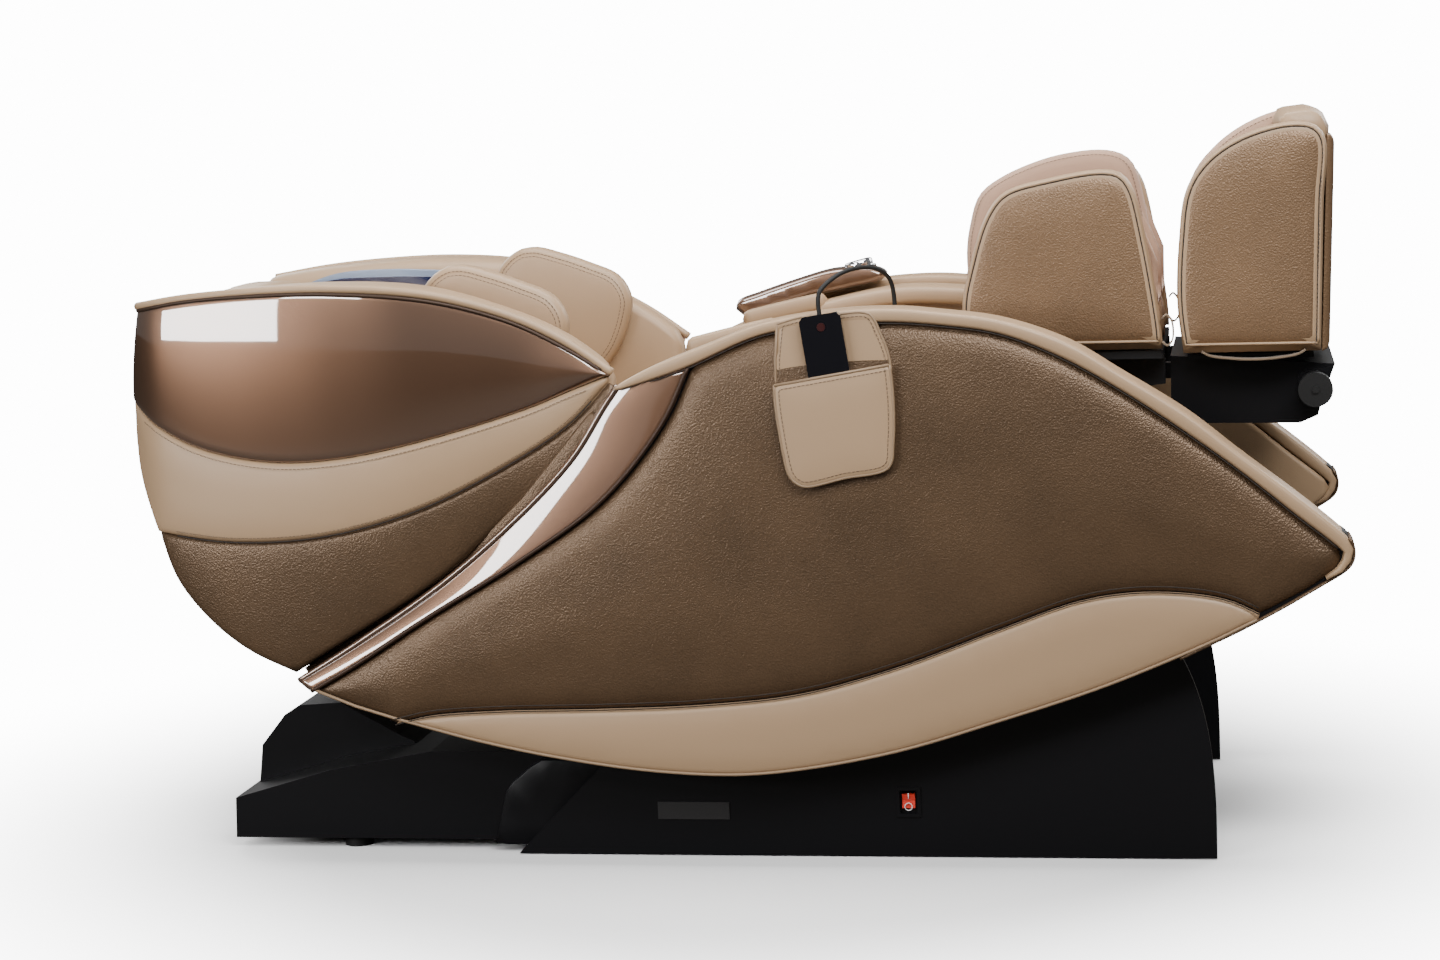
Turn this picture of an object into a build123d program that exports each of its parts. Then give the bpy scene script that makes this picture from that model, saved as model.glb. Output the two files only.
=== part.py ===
"""A reclining massage chair in its zero-gravity position, built as separate pieces.

Frame: origin on the floor under the middle of the chair, +X towards the feet, +Y to the sitter's left, +Z up.
All sizes are millimetres. "Side" outlines are drawn in the XZ plane, "plan" outlines in the XY plane.
"""

import os
from math import cos, pi, radians, sin, tan

from build123d import *

# ---- driving dimensions -------------------------------------------------------------------------
ARM_OUT = 400            # outer face of the side panels, from the middle
ARM_IN = 336             # inner face of the side shells
LINER_IN = 330           # inner face of the trim panel that closes them
PANEL_THICK = 10         # upholstered panel on the side shell
SKIN = 4                 # plastic shell wall
CHEEK_OUT = 328          # outer face of the base's side covers
CHEEK_IN = 318
LEG_HALF = 232           # half width of the calf and foot blocks
LEG_WALL = 40            # padded wall of the calf and foot blocks
CUSHION_HALF = 50        # half thickness of the seat cushion
SEAT_RISE = 28.4         # seat surface above the horizontal, degrees
BACK_RISE = 18.0         # back surface above the horizontal, degrees
SLOT_GAP = 0.5           # play between pieces that pass each other

BACK_PIVOT = (-50, 490)
TILT_PIVOT = (-155, 265)
LEG_PIVOT = (415, 665)
PIN_R = 10
PIN_PLAY = 0.06

SEAT_DIR = (cos(radians(SEAT_RISE)), sin(radians(SEAT_RISE)))
SEAT_UP = (-SEAT_DIR[1], SEAT_DIR[0])
BACK_DIR = (-cos(radians(BACK_RISE)), sin(radians(BACK_RISE)))
BACK_UP = (sin(radians(BACK_RISE)), cos(radians(BACK_RISE)))


def along_seat(distance, height=0.0):
    """A side-view point on the seat's own line, from the back pivot."""
    return (BACK_PIVOT[0] + distance * SEAT_DIR[0] + height * SEAT_UP[0],
            BACK_PIVOT[1] + distance * SEAT_DIR[1] + height * SEAT_UP[1])


def along_back(distance, height=0.0):
    """A side-view point on the back's own line, from the back pivot."""
    return (BACK_PIVOT[0] + distance * BACK_DIR[0] + height * BACK_UP[0],
            BACK_PIVOT[1] + distance * BACK_DIR[1] + height * BACK_UP[1])


def save(part, name):
    """Labels a finished piece and writes it as its own STEP file."""
    part.label = name
    export_step(part, f"parts/{name}.step")


def side(y):
    """The side-view plane at that Y. A positive extrusion goes towards -Y."""
    return Plane.XZ.offset(-y)


def both_sides(part):
    """A right-hand piece and its mirror image, as one group of separate solids."""
    with BuildPart() as pair:
        add(part)
        mirror(part, about=Plane.XZ)
    return pair.part


def side_slab(points, y_low, y_high):
    """A straight-edged side outline, extruded from y_low to y_high."""
    with BuildPart() as slab:
        with BuildSketch(side(y_high)):
            with BuildLine():
                Polyline(*points, close=True)
            make_face()
        extrude(amount=y_high - y_low)
    return slab.part


def cross_pin(centre, radius, y_low, y_high):
    """A round bar along Y."""
    with BuildPart() as pin:
        with BuildSketch(side(y_high)):
            with Locations(centre):
                Circle(radius)
        extrude(amount=y_high - y_low)
    return pin.part


def box_between(low, high):
    """A box from its lowest corner to its highest."""
    size = [b - a for a, b in zip(low, high)]
    with BuildPart() as block:
        with Locations(tuple((a + b) / 2 for a, b in zip(low, high))):
            Box(*size)
    return block.part


def square_tube(low, high, wall, axis):
    """A rectangular steel tube, hollow along the given axis."""
    inner_low, inner_high = list(low), list(high)
    for i in range(3):
        if i != axis:
            inner_low[i] += wall
            inner_high[i] -= wall
    with BuildPart() as tube:
        add(box_between(low, high))
        add(box_between(inner_low, inner_high), mode=Mode.SUBTRACT)
    return tube.part


# ---- side outlines of the arms ------------------------------------------------------------------
STRIP_TOP = (-148, 709)
STRIP_FOOT = (-644, 278)
ARM_TIP_LOW, ARM_TIP, ARM_TIP_HIGH = (884, 434), (897, 463), (878, 490)


def strip_rear_edge():
    return Spline(STRIP_TOP, (-218, 606), (-422, 416), STRIP_FOOT)


def arm_top_edge(drop=0):
    """The arm's top line from the front tip back to the strip; drop lowers it by the edge roll's depth."""
    front, mid = drop * 0.7, drop * 0.75
    return Spline((878 - front, 490 - front), (671 - mid, 662 - mid), (506 - drop * 0.4, 763 - drop * 0.9),
                  (254, 814 - drop), (-7 + drop * 0.4, 767 - drop * 0.9), STRIP_TOP)


def arm_outline(drop=0):
    """The whole arm seen from the side, as one closed face."""
    with BuildSketch() as face:
        with BuildLine():
            front = drop * 0.7
            strip_rear_edge()
            Spline(STRIP_FOOT, (-360, 189), (21, 136), (409, 220), (700, 331), ARM_TIP_LOW)
            ThreePointArc(ARM_TIP_LOW, ARM_TIP, ARM_TIP_HIGH)
            if drop:
                Line(ARM_TIP_HIGH, (878 - front, 490 - front))
            arm_top_edge(drop)
        make_face()
    return face.sketch


def strip_region():
    """The glossy strip that borders the arm's rear edge."""
    with BuildSketch() as face:
        with BuildLine():
            strip_rear_edge()
            Line(STRIP_FOOT, (-621, 262))
            Spline((-621, 262), (-424, 379), (-161, 546), (-68, 654), (-32, 733))
            Line((-32, 733), STRIP_TOP)
        make_face()
    return face.sketch


def crescent_region():
    """The pale crescent along the arm's lower edge."""
    with BuildSketch() as face:
        with BuildLine():
            Spline((-485, 210), (-325, 233), (-25, 242), (268, 298), (527, 395), (695, 399), (790, 360))
            Polyline((790, 360), (790, 80), (-485, 80), (-485, 210))
        make_face()
    return face.sketch


def between(sketch, y_low, y_high):
    """Any side-view face, extruded from y_low to y_high."""
    with BuildPart() as slab:
        with BuildSketch(side(y_high)):
            add(sketch)
        extrude(amount=y_high - y_low)
    return slab.part


ROLL = 20
arm_full = arm_outline()
arm_core = arm_outline(ROLL)


def make_side_shells():
    """Hollow plastic shells that carry the arm's upholstery, closed on the inside by a trim panel."""
    cavity = [(-590, 275), (-350, 215), (20, 165), (400, 245), (690, 360), (800, 430), (800, 470),
              (660, 600), (500, 700), (254, 760), (0, 715), (-120, 650), (-200, 570), (-400, 400)]
    with BuildPart() as shell:
        add(between(arm_core, -(ARM_OUT - PANEL_THICK), -ARM_IN))
        add(side_slab(cavity, -(ARM_OUT - PANEL_THICK - SKIN), -ARM_IN), mode=Mode.SUBTRACT)
    save(both_sides(shell.part), "side_shells")
    save(both_sides(between(arm_core, -ARM_IN, -LINER_IN)), "arm_liners")


def make_side_cladding():
    """What covers the shells: leaf panel, glossy strip, crescent and the soft roll on the edge."""
    low, high = -ARM_OUT, -(ARM_OUT - PANEL_THICK)
    strip, crescent = strip_region(), crescent_region()
    with BuildPart() as panel:
        add(between(arm_core, low, high))
        add(between(strip, low, high), mode=Mode.SUBTRACT)
        add(between(crescent, low, high), mode=Mode.SUBTRACT)
    save(both_sides(panel.part), "side_panels")

    with BuildPart() as gloss:
        add(between(arm_core, low - 4, high))
        add(between(strip, low - 4, high), mode=Mode.INTERSECT)
    save(both_sides(gloss.part), "gloss_strips")

    with BuildPart() as trim:
        add(between(arm_core, low, high))
        add(between(crescent, low, high), mode=Mode.INTERSECT)
    save(both_sides(trim.part), "crescent_trims")

    with BuildPart() as roll:
        add(between(arm_full, low, -LINER_IN))
        add(between(arm_core, low, -LINER_IN), mode=Mode.SUBTRACT)
    save(both_sides(roll.part.solids().sort_by(SortBy.VOLUME)[-1]), "edge_rolls")


# ---- arm massage channels -----------------------------------------------------------------------
PAD_REAR, PAD_FRONT = 50, 345
CHANNEL = 62             # height of the forearm slot


def arm_band(top_gap, thick):
    """A strip of side outline that follows the arm's top line, a stated way below it."""
    mid = (PAD_REAR + PAD_FRONT) / 2
    top = [(PAD_REAR, 786 - top_gap), (mid, 812 - top_gap), (PAD_FRONT, 806 - top_gap)]
    low = [(x, z - thick) for x, z in reversed(top)]
    with BuildSketch() as face:
        with BuildLine():
            ThreePointArc(*top)
            Line(top[-1], low[0])
            ThreePointArc(*low)
            Line(low[-1], top[0])
        make_face()
    return face.sketch


FLAP_THICK, PAD_THICK = 34, 40
FLAP_IN = 246            # inner face of the arm channels


def make_arm_pads():
    flap = between(arm_band(8, FLAP_THICK), -LINER_IN, -FLAP_IN)
    with BuildPart() as flaps:
        add(flap)
        with BuildSketch(Plane.XY.offset(GLAND_LOW)):
            with Locations(GLAND_AT):
                Circle(9.5)
        extrude(amount=20, mode=Mode.SUBTRACT)
        mirror(flap, about=Plane.XZ)
    save(flaps.part, "arm_flaps")
    pad = between(arm_band(8 + FLAP_THICK + CHANNEL, PAD_THICK), -LINER_IN, -FLAP_IN)
    save(both_sides(pad), "forearm_pads")


# ---- seat ---------------------------------------------------------------------------------------
SEAT_LONG = 440          # cushion length from the back pivot
SEAT_HALF = 240


def make_seat_cushion():
    """A padded slab that starts just past the round end of the back cushion."""
    start = CUSHION_HALF + 4
    with BuildPart() as cushion:
        with BuildSketch(side(SEAT_HALF)):
            with BuildLine():
                Polyline(along_seat(start, -CUSHION_HALF + 6), along_seat(start, CUSHION_HALF),
                         along_seat(SEAT_LONG - 30, CUSHION_HALF), along_seat(SEAT_LONG, CUSHION_HALF - 30),
                         along_seat(SEAT_LONG, -CUSHION_HALF + 6), close=True)
            make_face()
        extrude(amount=2 * SEAT_HALF)
    save(cushion.part, "seat_cushion")


def make_seat_pan():
    """A plastic tray under the cushion, with upturned sides."""
    top, low = -CUSHION_HALF + 5, -CUSHION_HALF - 3
    start, end = CUSHION_HALF + 6, SEAT_LONG + 4
    floor = side_slab([along_seat(start, top), along_seat(end, top),
                       along_seat(end, low), along_seat(start, low)], -SEAT_HALF - 4, SEAT_HALF + 4)
    cheek = side_slab([along_seat(start, low), along_seat(start, 20), along_seat(end - 90, 20),
                       along_seat(end, low)], -SEAT_HALF - 4, -SEAT_HALF - 0.5)
    with BuildPart() as pan:
        add(floor)
        add(cheek)
        mirror(cheek, about=Plane.XZ)
    save(pan.part, "seat_pan")


PLATE_IN, PLATE_OUT = 292, 300      # the seat frame's side plates


def make_seat_frame():
    """Two steel side plates joined by cross tubes; it carries the arms, the seat and both hinges."""
    top, low = -48, -75
    outline = [(BACK_PIVOT[0] - 22, BACK_PIVOT[1] + 14), (BACK_PIVOT[0] + 16, BACK_PIVOT[1] + 20),
               along_seat(80, top), (LEG_PIVOT[0] - 10, LEG_PIVOT[1] + 22),
               (LEG_PIVOT[0] + 22, LEG_PIVOT[1] + 10), (LEG_PIVOT[0] + 22, LEG_PIVOT[1] - 20),
               along_seat(SEAT_LONG - 20, low - 50),
               along_seat(150, low - 70), (TILT_PIVOT[0] + 30, TILT_PIVOT[1] - 30),
               (TILT_PIVOT[0] - 26, TILT_PIVOT[1] - 26), (TILT_PIVOT[0] - 26, TILT_PIVOT[1] + 26),
               (BACK_PIVOT[0] - 28, BACK_PIVOT[1] - 30)]
    with BuildPart() as frame:
        for low_y, high_y in ((-PLATE_OUT, -PLATE_IN), (PLATE_IN, PLATE_OUT)):
            add(side_slab(outline, low_y, high_y))
        for distance in (130, 320):
            x, z = along_seat(distance, low)
            add(square_tube((x - 15, -PLATE_IN, z - 15), (x + 15, PLATE_IN, z + 15), 2, 1))
            for y in (-LINER_IN, PLATE_OUT):
                add(cross_pin((x, z), 14, y, y + LINER_IN - PLATE_OUT))
        for pivot in (BACK_PIVOT, LEG_PIVOT):
            add(cross_pin(pivot, PIN_R, -PLATE_OUT - 1, PLATE_OUT + 1), mode=Mode.SUBTRACT)
        add(cross_pin(TILT_PIVOT, PIN_R + PIN_PLAY, -PLATE_OUT - 1, PLATE_OUT + 1), mode=Mode.SUBTRACT)
    save(frame.part, "seat_frame")


def pivot_pins(pivot, y_inner, y_head):
    """A headed pin on each side of the chair, its head on the outside."""
    with BuildPart() as pin:
        add(cross_pin(pivot, PIN_R, -y_head, -y_inner))
        add(cross_pin(pivot, PIN_R + 6, -y_head - 5, -y_head))
    return both_sides(pin.part)


# ---- remote pocket, handset and cord ------------------------------------------------------------
POCKET_LEAN = 8.0        # the pocket hangs turned by this much, degrees
POCKET_TOP = (182, 806)


def pocket_point(across, down):
    """A point of the pocket's own outline, as a side-view point."""
    a = radians(POCKET_LEAN)
    return (POCKET_TOP[0] + across * cos(a) + down * sin(a), POCKET_TOP[1] + across * sin(a) - down * cos(a))


POCKET_Y = ARM_OUT + 1
LEAF = 2.5
POCKET_DEEP = 22
MOUTH = 86               # from the pocket's top edge down to its mouth


def pocket_sheet(points, y_low, y_high):
    return side_slab([pocket_point(*p) for p in points], y_low, y_high)


def make_pocket():
    """A sewn leather pocket: a back leaf, a front leaf and the gusset between them."""
    back = [(-58, 0), (50, 0), (66, 40), (82, MOUTH), (88, 130), (86, 205), (74, 232), (-50, 240),
            (-68, 222), (-84, 150), (-86, MOUTH), (-74, 20)]
    front = [(82, MOUTH), (88, 130), (86, 205), (74, 232), (-50, 240), (-68, 222), (-84, 150), (-86, MOUTH)]
    inner = [(78, MOUTH - 1), (84, 130), (82, 203), (72, 227), (-49, 235), (-64, 220), (-80, 150),
             (-82, MOUTH - 1)]
    with BuildPart() as pocket:
        add(pocket_sheet(back, -POCKET_Y - LEAF, -POCKET_Y))
        add(pocket_sheet(front, -POCKET_Y - POCKET_DEEP, -POCKET_Y - LEAF))
        add(pocket_sheet(inner, -POCKET_Y - POCKET_DEEP + LEAF, -POCKET_Y - LEAF), mode=Mode.SUBTRACT)
    save(pocket.part, "remote_pocket")


HANDSET_WIDE, HANDSET_THICK = 60, 13
HANDSET_MID = -22        # across the pocket
HANDSET_HEAD, HANDSET_FOOT = -6, 154
HANDSET_Y = POCKET_Y + LEAF + 1
KEY_DOWN = 12


def make_handset():
    """A slab handset that stands in the pocket, with one travelling power key on its face."""
    half = HANDSET_WIDE / 2
    y_front = -HANDSET_Y - HANDSET_THICK
    body = pocket_sheet([(HANDSET_MID - half, HANDSET_HEAD + 6), (HANDSET_MID - half + 6, HANDSET_HEAD),
                         (HANDSET_MID + half - 6, HANDSET_HEAD), (HANDSET_MID + half, HANDSET_HEAD + 6),
                         (HANDSET_MID + half, HANDSET_FOOT), (HANDSET_MID - half, HANDSET_FOOT)],
                        y_front, -HANDSET_Y)
    key = pocket_point(HANDSET_MID, KEY_DOWN)
    with BuildPart() as handset:
        add(body)
        add(cross_pin(key, 6.3, y_front - 1, y_front + 5), mode=Mode.SUBTRACT)
    save(handset.part, "remote_handset")
    save(cross_pin(key, 6, y_front - 0.8, y_front + 3), "handset_power_key")


CORD_D = 6.5
HANDSET_TOP = pocket_point(HANDSET_MID, HANDSET_HEAD)
HANDSET_RELIEF = pocket_point(HANDSET_MID, HANDSET_HEAD - 25)
CORD_Y = -HANDSET_Y - HANDSET_THICK / 2
GLAND_AT = (256, -316)
GLAND_LOW, GLAND_HIGH = 795, 808
# The cord's route from the gland, up and over the arm's edge roll and down into the handset.
CORD_ROUTE = [(*GLAND_AT, GLAND_HIGH), (*GLAND_AT, 834), (248, -328, 860), (224, -352, 872), (192, -380, 868),
              (166, -402, 850), (HANDSET_RELIEF[0], CORD_Y, HANDSET_RELIEF[1]),
              (HANDSET_TOP[0], CORD_Y, HANDSET_TOP[1])]


def make_cord():
    """The free stretch of the handset's cord, straight runs joined by large arcs."""
    points = [Vector(*p) for p in CORD_ROUTE]
    radii = []
    for a, b, c in zip(points, points[1:], points[2:]):
        turn = (b - a).get_angle(c - b)
        run = min((b - a).length, (c - b).length)
        radii.append(0.45 * run / tan(radians(turn) / 2))
    with BuildPart() as cord:
        with BuildLine() as path:
            FilletPolyline(*points, radius=radii)
        with BuildSketch(Plane(origin=points[0], z_dir=points[1] - points[0])):
            Circle(CORD_D / 2)
        sweep(path=path.line)
    length = path.wires()[0].length
    print("cord radii", [round(r, 1) for r in radii], "length", round(length, 1))
    print("cord volume ratio", round(cord.part.volume / (pi * CORD_D ** 2 / 4 * length), 4))
    save(cord.part, "remote_cord")


def make_gland():
    """The tapered strain relief that lets the cord out of the right arm flap."""
    with BuildPart() as gland:
        with BuildSketch(Plane.XY.offset(GLAND_LOW)):
            with Locations(GLAND_AT):
                Circle(9)
        with BuildSketch(Plane.XY.offset(GLAND_HIGH)):
            with Locations(GLAND_AT):
                Circle(5.5)
        loft()
    save(gland.part, "cord_gland")


# ---- control panel on the left arm --------------------------------------------------------------
DIAL_FOOT = Vector(128, 301, 836)
DIAL_LEAN = 14.0
DIAL_R, DIAL_BORE = 24, 6


def make_control_panel():
    """A glossy wedge beside the left edge roll, with a round boss for the dial at its front end."""
    wedge = side_slab([(-78, 768), (-74, 783), (104, 834), (156, 834), (176, 822), (168, 812), (46, 784),
                       (-50, 744)], 272, LINER_IN)
    axis = Vector(-sin(radians(DIAL_LEAN)), 0, cos(radians(DIAL_LEAN)))
    with BuildPart() as panel:
        add(wedge)
        with BuildSketch(Plane(origin=DIAL_FOOT - axis * 6, z_dir=axis)):
            Circle(DIAL_R + 1)
        extrude(amount=40, mode=Mode.SUBTRACT)
        with BuildSketch(Plane(origin=DIAL_FOOT - axis * 8, z_dir=axis)):
            Circle(DIAL_BORE - PIN_PLAY)
        extrude(amount=12)
    save(panel.part, "control_panel")
    with BuildPart() as dial:
        with BuildSketch(Plane(origin=DIAL_FOOT - axis * 5.5, z_dir=axis)):
            Circle(DIAL_R)
        extrude(amount=14)
        with BuildSketch(Plane(origin=DIAL_FOOT - axis * 5.5, z_dir=axis)):
            Circle(DIAL_BORE)
        extrude(amount=10.5, mode=Mode.SUBTRACT)
    save(dial.part, "control_dial")


# ---- base ---------------------------------------------------------------------------------------
TUBE_IN, TUBE_OUT = 248, 288        # the base's long tubes, seen in plan
TUBE_LOW, TUBE_HIGH = 20, 60
RAIL_HIGH = 72
SEAM_LOW, SEAM_HIGH = (-333, 2), (-186, 152)
SWITCH = (239, 61, 275, 106)        # the power switch's opening: x, z, x, z


def cheek_outline():
    """The base's front side cover: a slanted rear seam and a curved front edge."""
    with BuildSketch() as face:
        with BuildLine():
            Line(SEAM_LOW, SEAM_HIGH)
            Line(SEAM_HIGH, (-60, 196))
            Spline((-60, 196), (150, 232), (420, 300), (620, 352))
            Spline((620, 352), (668, 275), (698, 150), (703, 2))
            Line((703, 2), SEAM_LOW)
        make_face()
    return face.sketch


def make_base_cheeks():
    with BuildPart() as plain:
        add(between(cheek_outline(), -CHEEK_OUT, -CHEEK_IN))
        for x in (-250, 150, 600):
            add(cross_pin((x, 40), 12, -CHEEK_IN, -TUBE_OUT))
    x0, z0, x1, z1 = SWITCH
    with BuildPart() as cheeks:
        add(both_sides(plain.part))
        add(box_between((x0, -CHEEK_OUT - 1, z0), (x1, -CHEEK_IN + 1, z1)), mode=Mode.SUBTRACT)
    save(cheeks.part, "base_cheeks")


def make_switch():
    """A recessed bezel with a rocker on two stubs, and the blank plates beside it."""
    x0, z0, x1, z1 = SWITCH
    y = -CHEEK_OUT
    depth, height = y + 9, z0 + 24.5
    with BuildPart() as bezel:
        add(box_between((x0, y - 2, z0), (x1, y + 22, z1)))
        add(box_between((x0 + 5, y - 3, z0 + 5), (x1 - 5, y + 5, z1 - 5)), mode=Mode.SUBTRACT)
        add(box_between((x0 + 8, y + 4, z0 + 10.5), (x1 - 8, y + 17, z1 - 6.5)), mode=Mode.SUBTRACT)
        with BuildSketch(Plane.YZ.offset(x0 + 5)):
            with Locations((depth, height)):
                Circle(2 + PIN_PLAY)
        extrude(amount=x1 - x0 - 10, mode=Mode.SUBTRACT)
    save(bezel.part, "switch_bezel")
    with BuildPart() as rocker:
        lean = radians(ROCKER_REST)
        corners = [(-9, -10.5), (-6.5, 0), (-9, 10.5), (4, 9), (6, 0), (4, -9)]
        with BuildSketch(Plane.YZ.offset(x0 + 8.5)):
            with BuildLine():
                Polyline(*[(depth + a * cos(lean) - b * sin(lean), height + a * sin(lean) + b * cos(lean))
                           for a, b in corners], close=True)
            make_face()
        extrude(amount=x1 - x0 - 17)
        with BuildSketch(Plane.YZ.offset(x0 + 5.5)):
            with Locations((depth, height)):
                Circle(2)
        extrude(amount=x1 - x0 - 11)
    save(rocker.part, "power_rocker")
    save(box_between((-118, y - 1.5, 56), (-10, y, 82)), "badge_plate")


ROCKER_REST = 6.0        # degrees, the rocker at rest leans to "on"


def make_base_frame():
    """Welded tubes: two long members, three cross members, and the sliding rails on top."""
    with BuildPart() as frame:
        for side_sign in (-1, 1):
            y0, y1 = sorted((side_sign * TUBE_IN, side_sign * TUBE_OUT))
            add(square_tube((-722, y0, TUBE_LOW), (640, y1, TUBE_HIGH), 2.5, 0))
        for x in (-722, -330, 180):
            add(square_tube((x, -TUBE_IN, TUBE_LOW), (x + 40, TUBE_IN, TUBE_HIGH), 2.5, 1))
        for y in (-245, -207, 202, 240):
            add(side_slab([(-722, 25), (-722, 50), (-766, 50), (-766, 15), (-750, 12)], y, y + 5))
        add(cross_pin(WHEEL_AT, 5 + PIN_PLAY, -250, 250), mode=Mode.SUBTRACT)
    save(frame.part, "base_frame")
    rail = box_between((-345, -278, TUBE_HIGH), (30, -258, RAIL_HIGH))
    save(both_sides(rail), "slide_rails")
    with BuildPart() as feet:
        for x in (-600, 560):
            for y in (-268, 268):
                with Locations((x, y, TUBE_LOW / 2)):
                    Cylinder(22, TUBE_LOW)
    save(feet.part, "rubber_feet")
    save(box_between((-330, -TUBE_IN + 2, TUBE_HIGH), (186, TUBE_IN - 2, TUBE_HIGH + 2)), "base_tray")
    low = TUBE_HIGH + 2
    save(box_between((-60, -200, low), (130, -20, low + 62)), "control_box")
    with BuildPart() as pump:
        add(box_between((-60, 40, low), (120, 190, low + 20)))
        for y in (80, 150):
            add(box_between((-40, y - 28, low + 20), (100, y + 28, low + 84)))
    save(pump.part, "air_pump")


def make_front_panel():
    """The upright panel between the cheeks that closes the base behind the leg rest."""
    with BuildPart() as panel:
        add(box_between((222, -246, TUBE_HIGH), (230, 246, 230)))
        for y in (-200, 200):
            add(box_between((190, y - 15, TUBE_HIGH), (222, y + 15, TUBE_HIGH + 4)))
    save(panel.part, "base_front_panel")


WHEEL_AT = (-752, 25)     # rear axle, (x, z)


def make_rear_cover():
    """The low tail of the base: a hollow deck with an open front, and the rounded hump on it."""
    outer = [(-786, 16), (-784, 78), (-631, 122), (-472, 151), (-216, 151), (-348, 16)]
    inner = [(-780, 15), (-778, 73), (-630, 116), (-471, 145), (-200, 145), (-330, 15)]
    with BuildPart() as deck:
        add(side_slab(outer, -300, 300))
        add(side_slab(inner, -294, 294), mode=Mode.SUBTRACT)
        add(box_between((-350, -293, 0), (-100, 293, 200)), mode=Mode.SUBTRACT)
        for x in (-700, -420):
            for y in (-294, TUBE_OUT):
                add(cross_pin((x, 40), 10, y, y + 6))
        add(box_between((-787, -150, 34), (-776, -110, 62)), mode=Mode.SUBTRACT)
    save(deck.part, "base_rear_deck")
    with BuildPart() as hump:
        add(side_slab([(-778, 79.8), (-771, 139), (-732, 187), (-706, 202), (-641, 206), (-547, 155),
                       (-520, 142.3), (-631, 122)], -200, 200))
        add(side_slab([(-770, 70), (-765, 137), (-730, 182), (-705, 197), (-642, 201), (-550, 150),
                       (-540, 100)], -195, 195), mode=Mode.SUBTRACT)
    save(hump.part, "base_hump")
    with BuildPart() as inlet:
        add(box_between((-786, -150, 34), (-760, -110, 62)))
        add(box_between((-787, -144, 39), (-768, -116, 57)), mode=Mode.SUBTRACT)
        for y in (-138, -130, -122):
            add(box_between((-778, y - 1, 46), (-768, y + 1, 50)))
    save(inlet.part, "power_inlet")
    with BuildPart() as wheels:
        add(cross_pin(WHEEL_AT, 5, -248, 248))
        for y in (-235, 212):
            add(cross_pin(WHEEL_AT, 25, y, y + 23))
    save(wheels.part, "transport_wheels")


# ---- sliding carriage ---------------------------------------------------------------------------
def make_carriage():
    """Two brackets on shoes that run on the rails, tied by a tube; the seat tilts on its pins."""
    x, z = TILT_PIVOT
    with BuildPart() as carriage:
        for side_sign in (-1, 1):
            y0, y1 = sorted((side_sign * 276, side_sign * TUBE_OUT))
            add(side_slab([(x - 50, RAIL_HIGH + 1), (x + 50, RAIL_HIGH + 1), (x + 24, z), (x + 14, z + 22),
                           (x - 14, z + 22), (x - 24, z)], y0, y1))
            y0, y1 = sorted((side_sign * 254, side_sign * 276))
            add(box_between((x - 50, y0, RAIL_HIGH + 1), (x + 50, y1, RAIL_HIGH + 13)))
        add(square_tube((x - 18, -254, RAIL_HIGH + 1), (x + 18, 254, RAIL_HIGH + 37), 2.5, 1))
        add(square_tube((x - 15, -276, 150), (x + 15, 276, 180), 2.5, 1))
        add(cross_pin(TILT_PIVOT, PIN_R, -300, 300), mode=Mode.SUBTRACT)
    save(carriage.part, "slide_carriage")
    save(pivot_pins(TILT_PIVOT, 276, PLATE_OUT + SLOT_GAP), "tilt_pins")


# ---- backrest -----------------------------------------------------------------------------------
TUB_HALF = 300
BACK_LONG = 880


def plan_band():
    """Everything between the tub and the outer curve of the wings, in plan, on the right."""
    with BuildSketch(Plane.XY) as face:
        with BuildLine():
            Spline((-925, -TUB_HALF), (-890, -345), (-800, -376), (-640, -391), (-470, -380), (-300, -326),
                   (-150, -318))
            Polyline((-150, -318), (-150, -200), (-925, -200), (-925, -TUB_HALF))
        make_face()
    return face.sketch


def plan_block(grow=0.0):
    """The plan band as a tall block; grow moves its outer face outwards."""
    with BuildPart() as block:
        with BuildSketch(Plane.XY.offset(150)):
            add(plan_band())
        extrude(amount=800)
    return block.part.moved(Location((0, -grow, 0)))


def wing_region():
    """The glossy wing panel seen from the side."""
    with BuildSketch() as face:
        with BuildLine():
            Spline((-172, 722), (-230, 762), (-316, 806), (-425, 841), (-560, 857), (-730, 855), (-879, 836))
            Spline((-879, 836), (-899, 776), (-908, 696))
            Spline((-908, 696), (-856, 660), (-780, 626), (-673, 605), (-565, 608), (-426, 636), (-289, 674),
                   (-172, 722))
        make_face()
    return face.sketch


def bolster_region():
    """The padded side of the back that the wing panel covers, up to its piped top."""
    with BuildSketch() as face:
        with BuildLine():
            Spline((-166, 724), (-232, 777), (-318, 819), (-437, 854), (-588, 864), (-773, 853), (-886, 838))
            Line((-886, 838), along_back(BACK_LONG, 1))
            Line(along_back(BACK_LONG, 1), along_back(185, 1))
            Line(along_back(185, 1), (-166, 724))
        make_face()
    return face.sketch


def band_region():
    """The pale leather band under the wing panel."""
    with BuildSketch() as face:
        with BuildLine():
            Spline((-908, 696), (-856, 660), (-780, 626), (-673, 605), (-565, 608), (-426, 636), (-289, 674),
                   (-172, 722))
            Line((-172, 722), (-176, 706))
            Spline((-176, 706), (-231, 647), (-323, 590), (-447, 532), (-586, 496), (-726, 487), (-868, 499))
            Spline((-868, 499), (-905, 600), (-908, 696))
        make_face()
    return face.sketch


def flank_region():
    """The brown flank below the band, as far as the arm's rear edge."""
    with BuildSketch() as face:
        with BuildLine():
            Spline((-868, 498), (-726, 486), (-586, 495), (-447, 531), (-323, 589))
            Line((-323, 589), (-304, 540))
            Spline((-304, 540), (-428, 424), (-655, 285))
            Spline((-655, 285), (-727, 320), (-787, 366), (-839, 427), (-868, 498))
        make_face()
    return face.sketch


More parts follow.
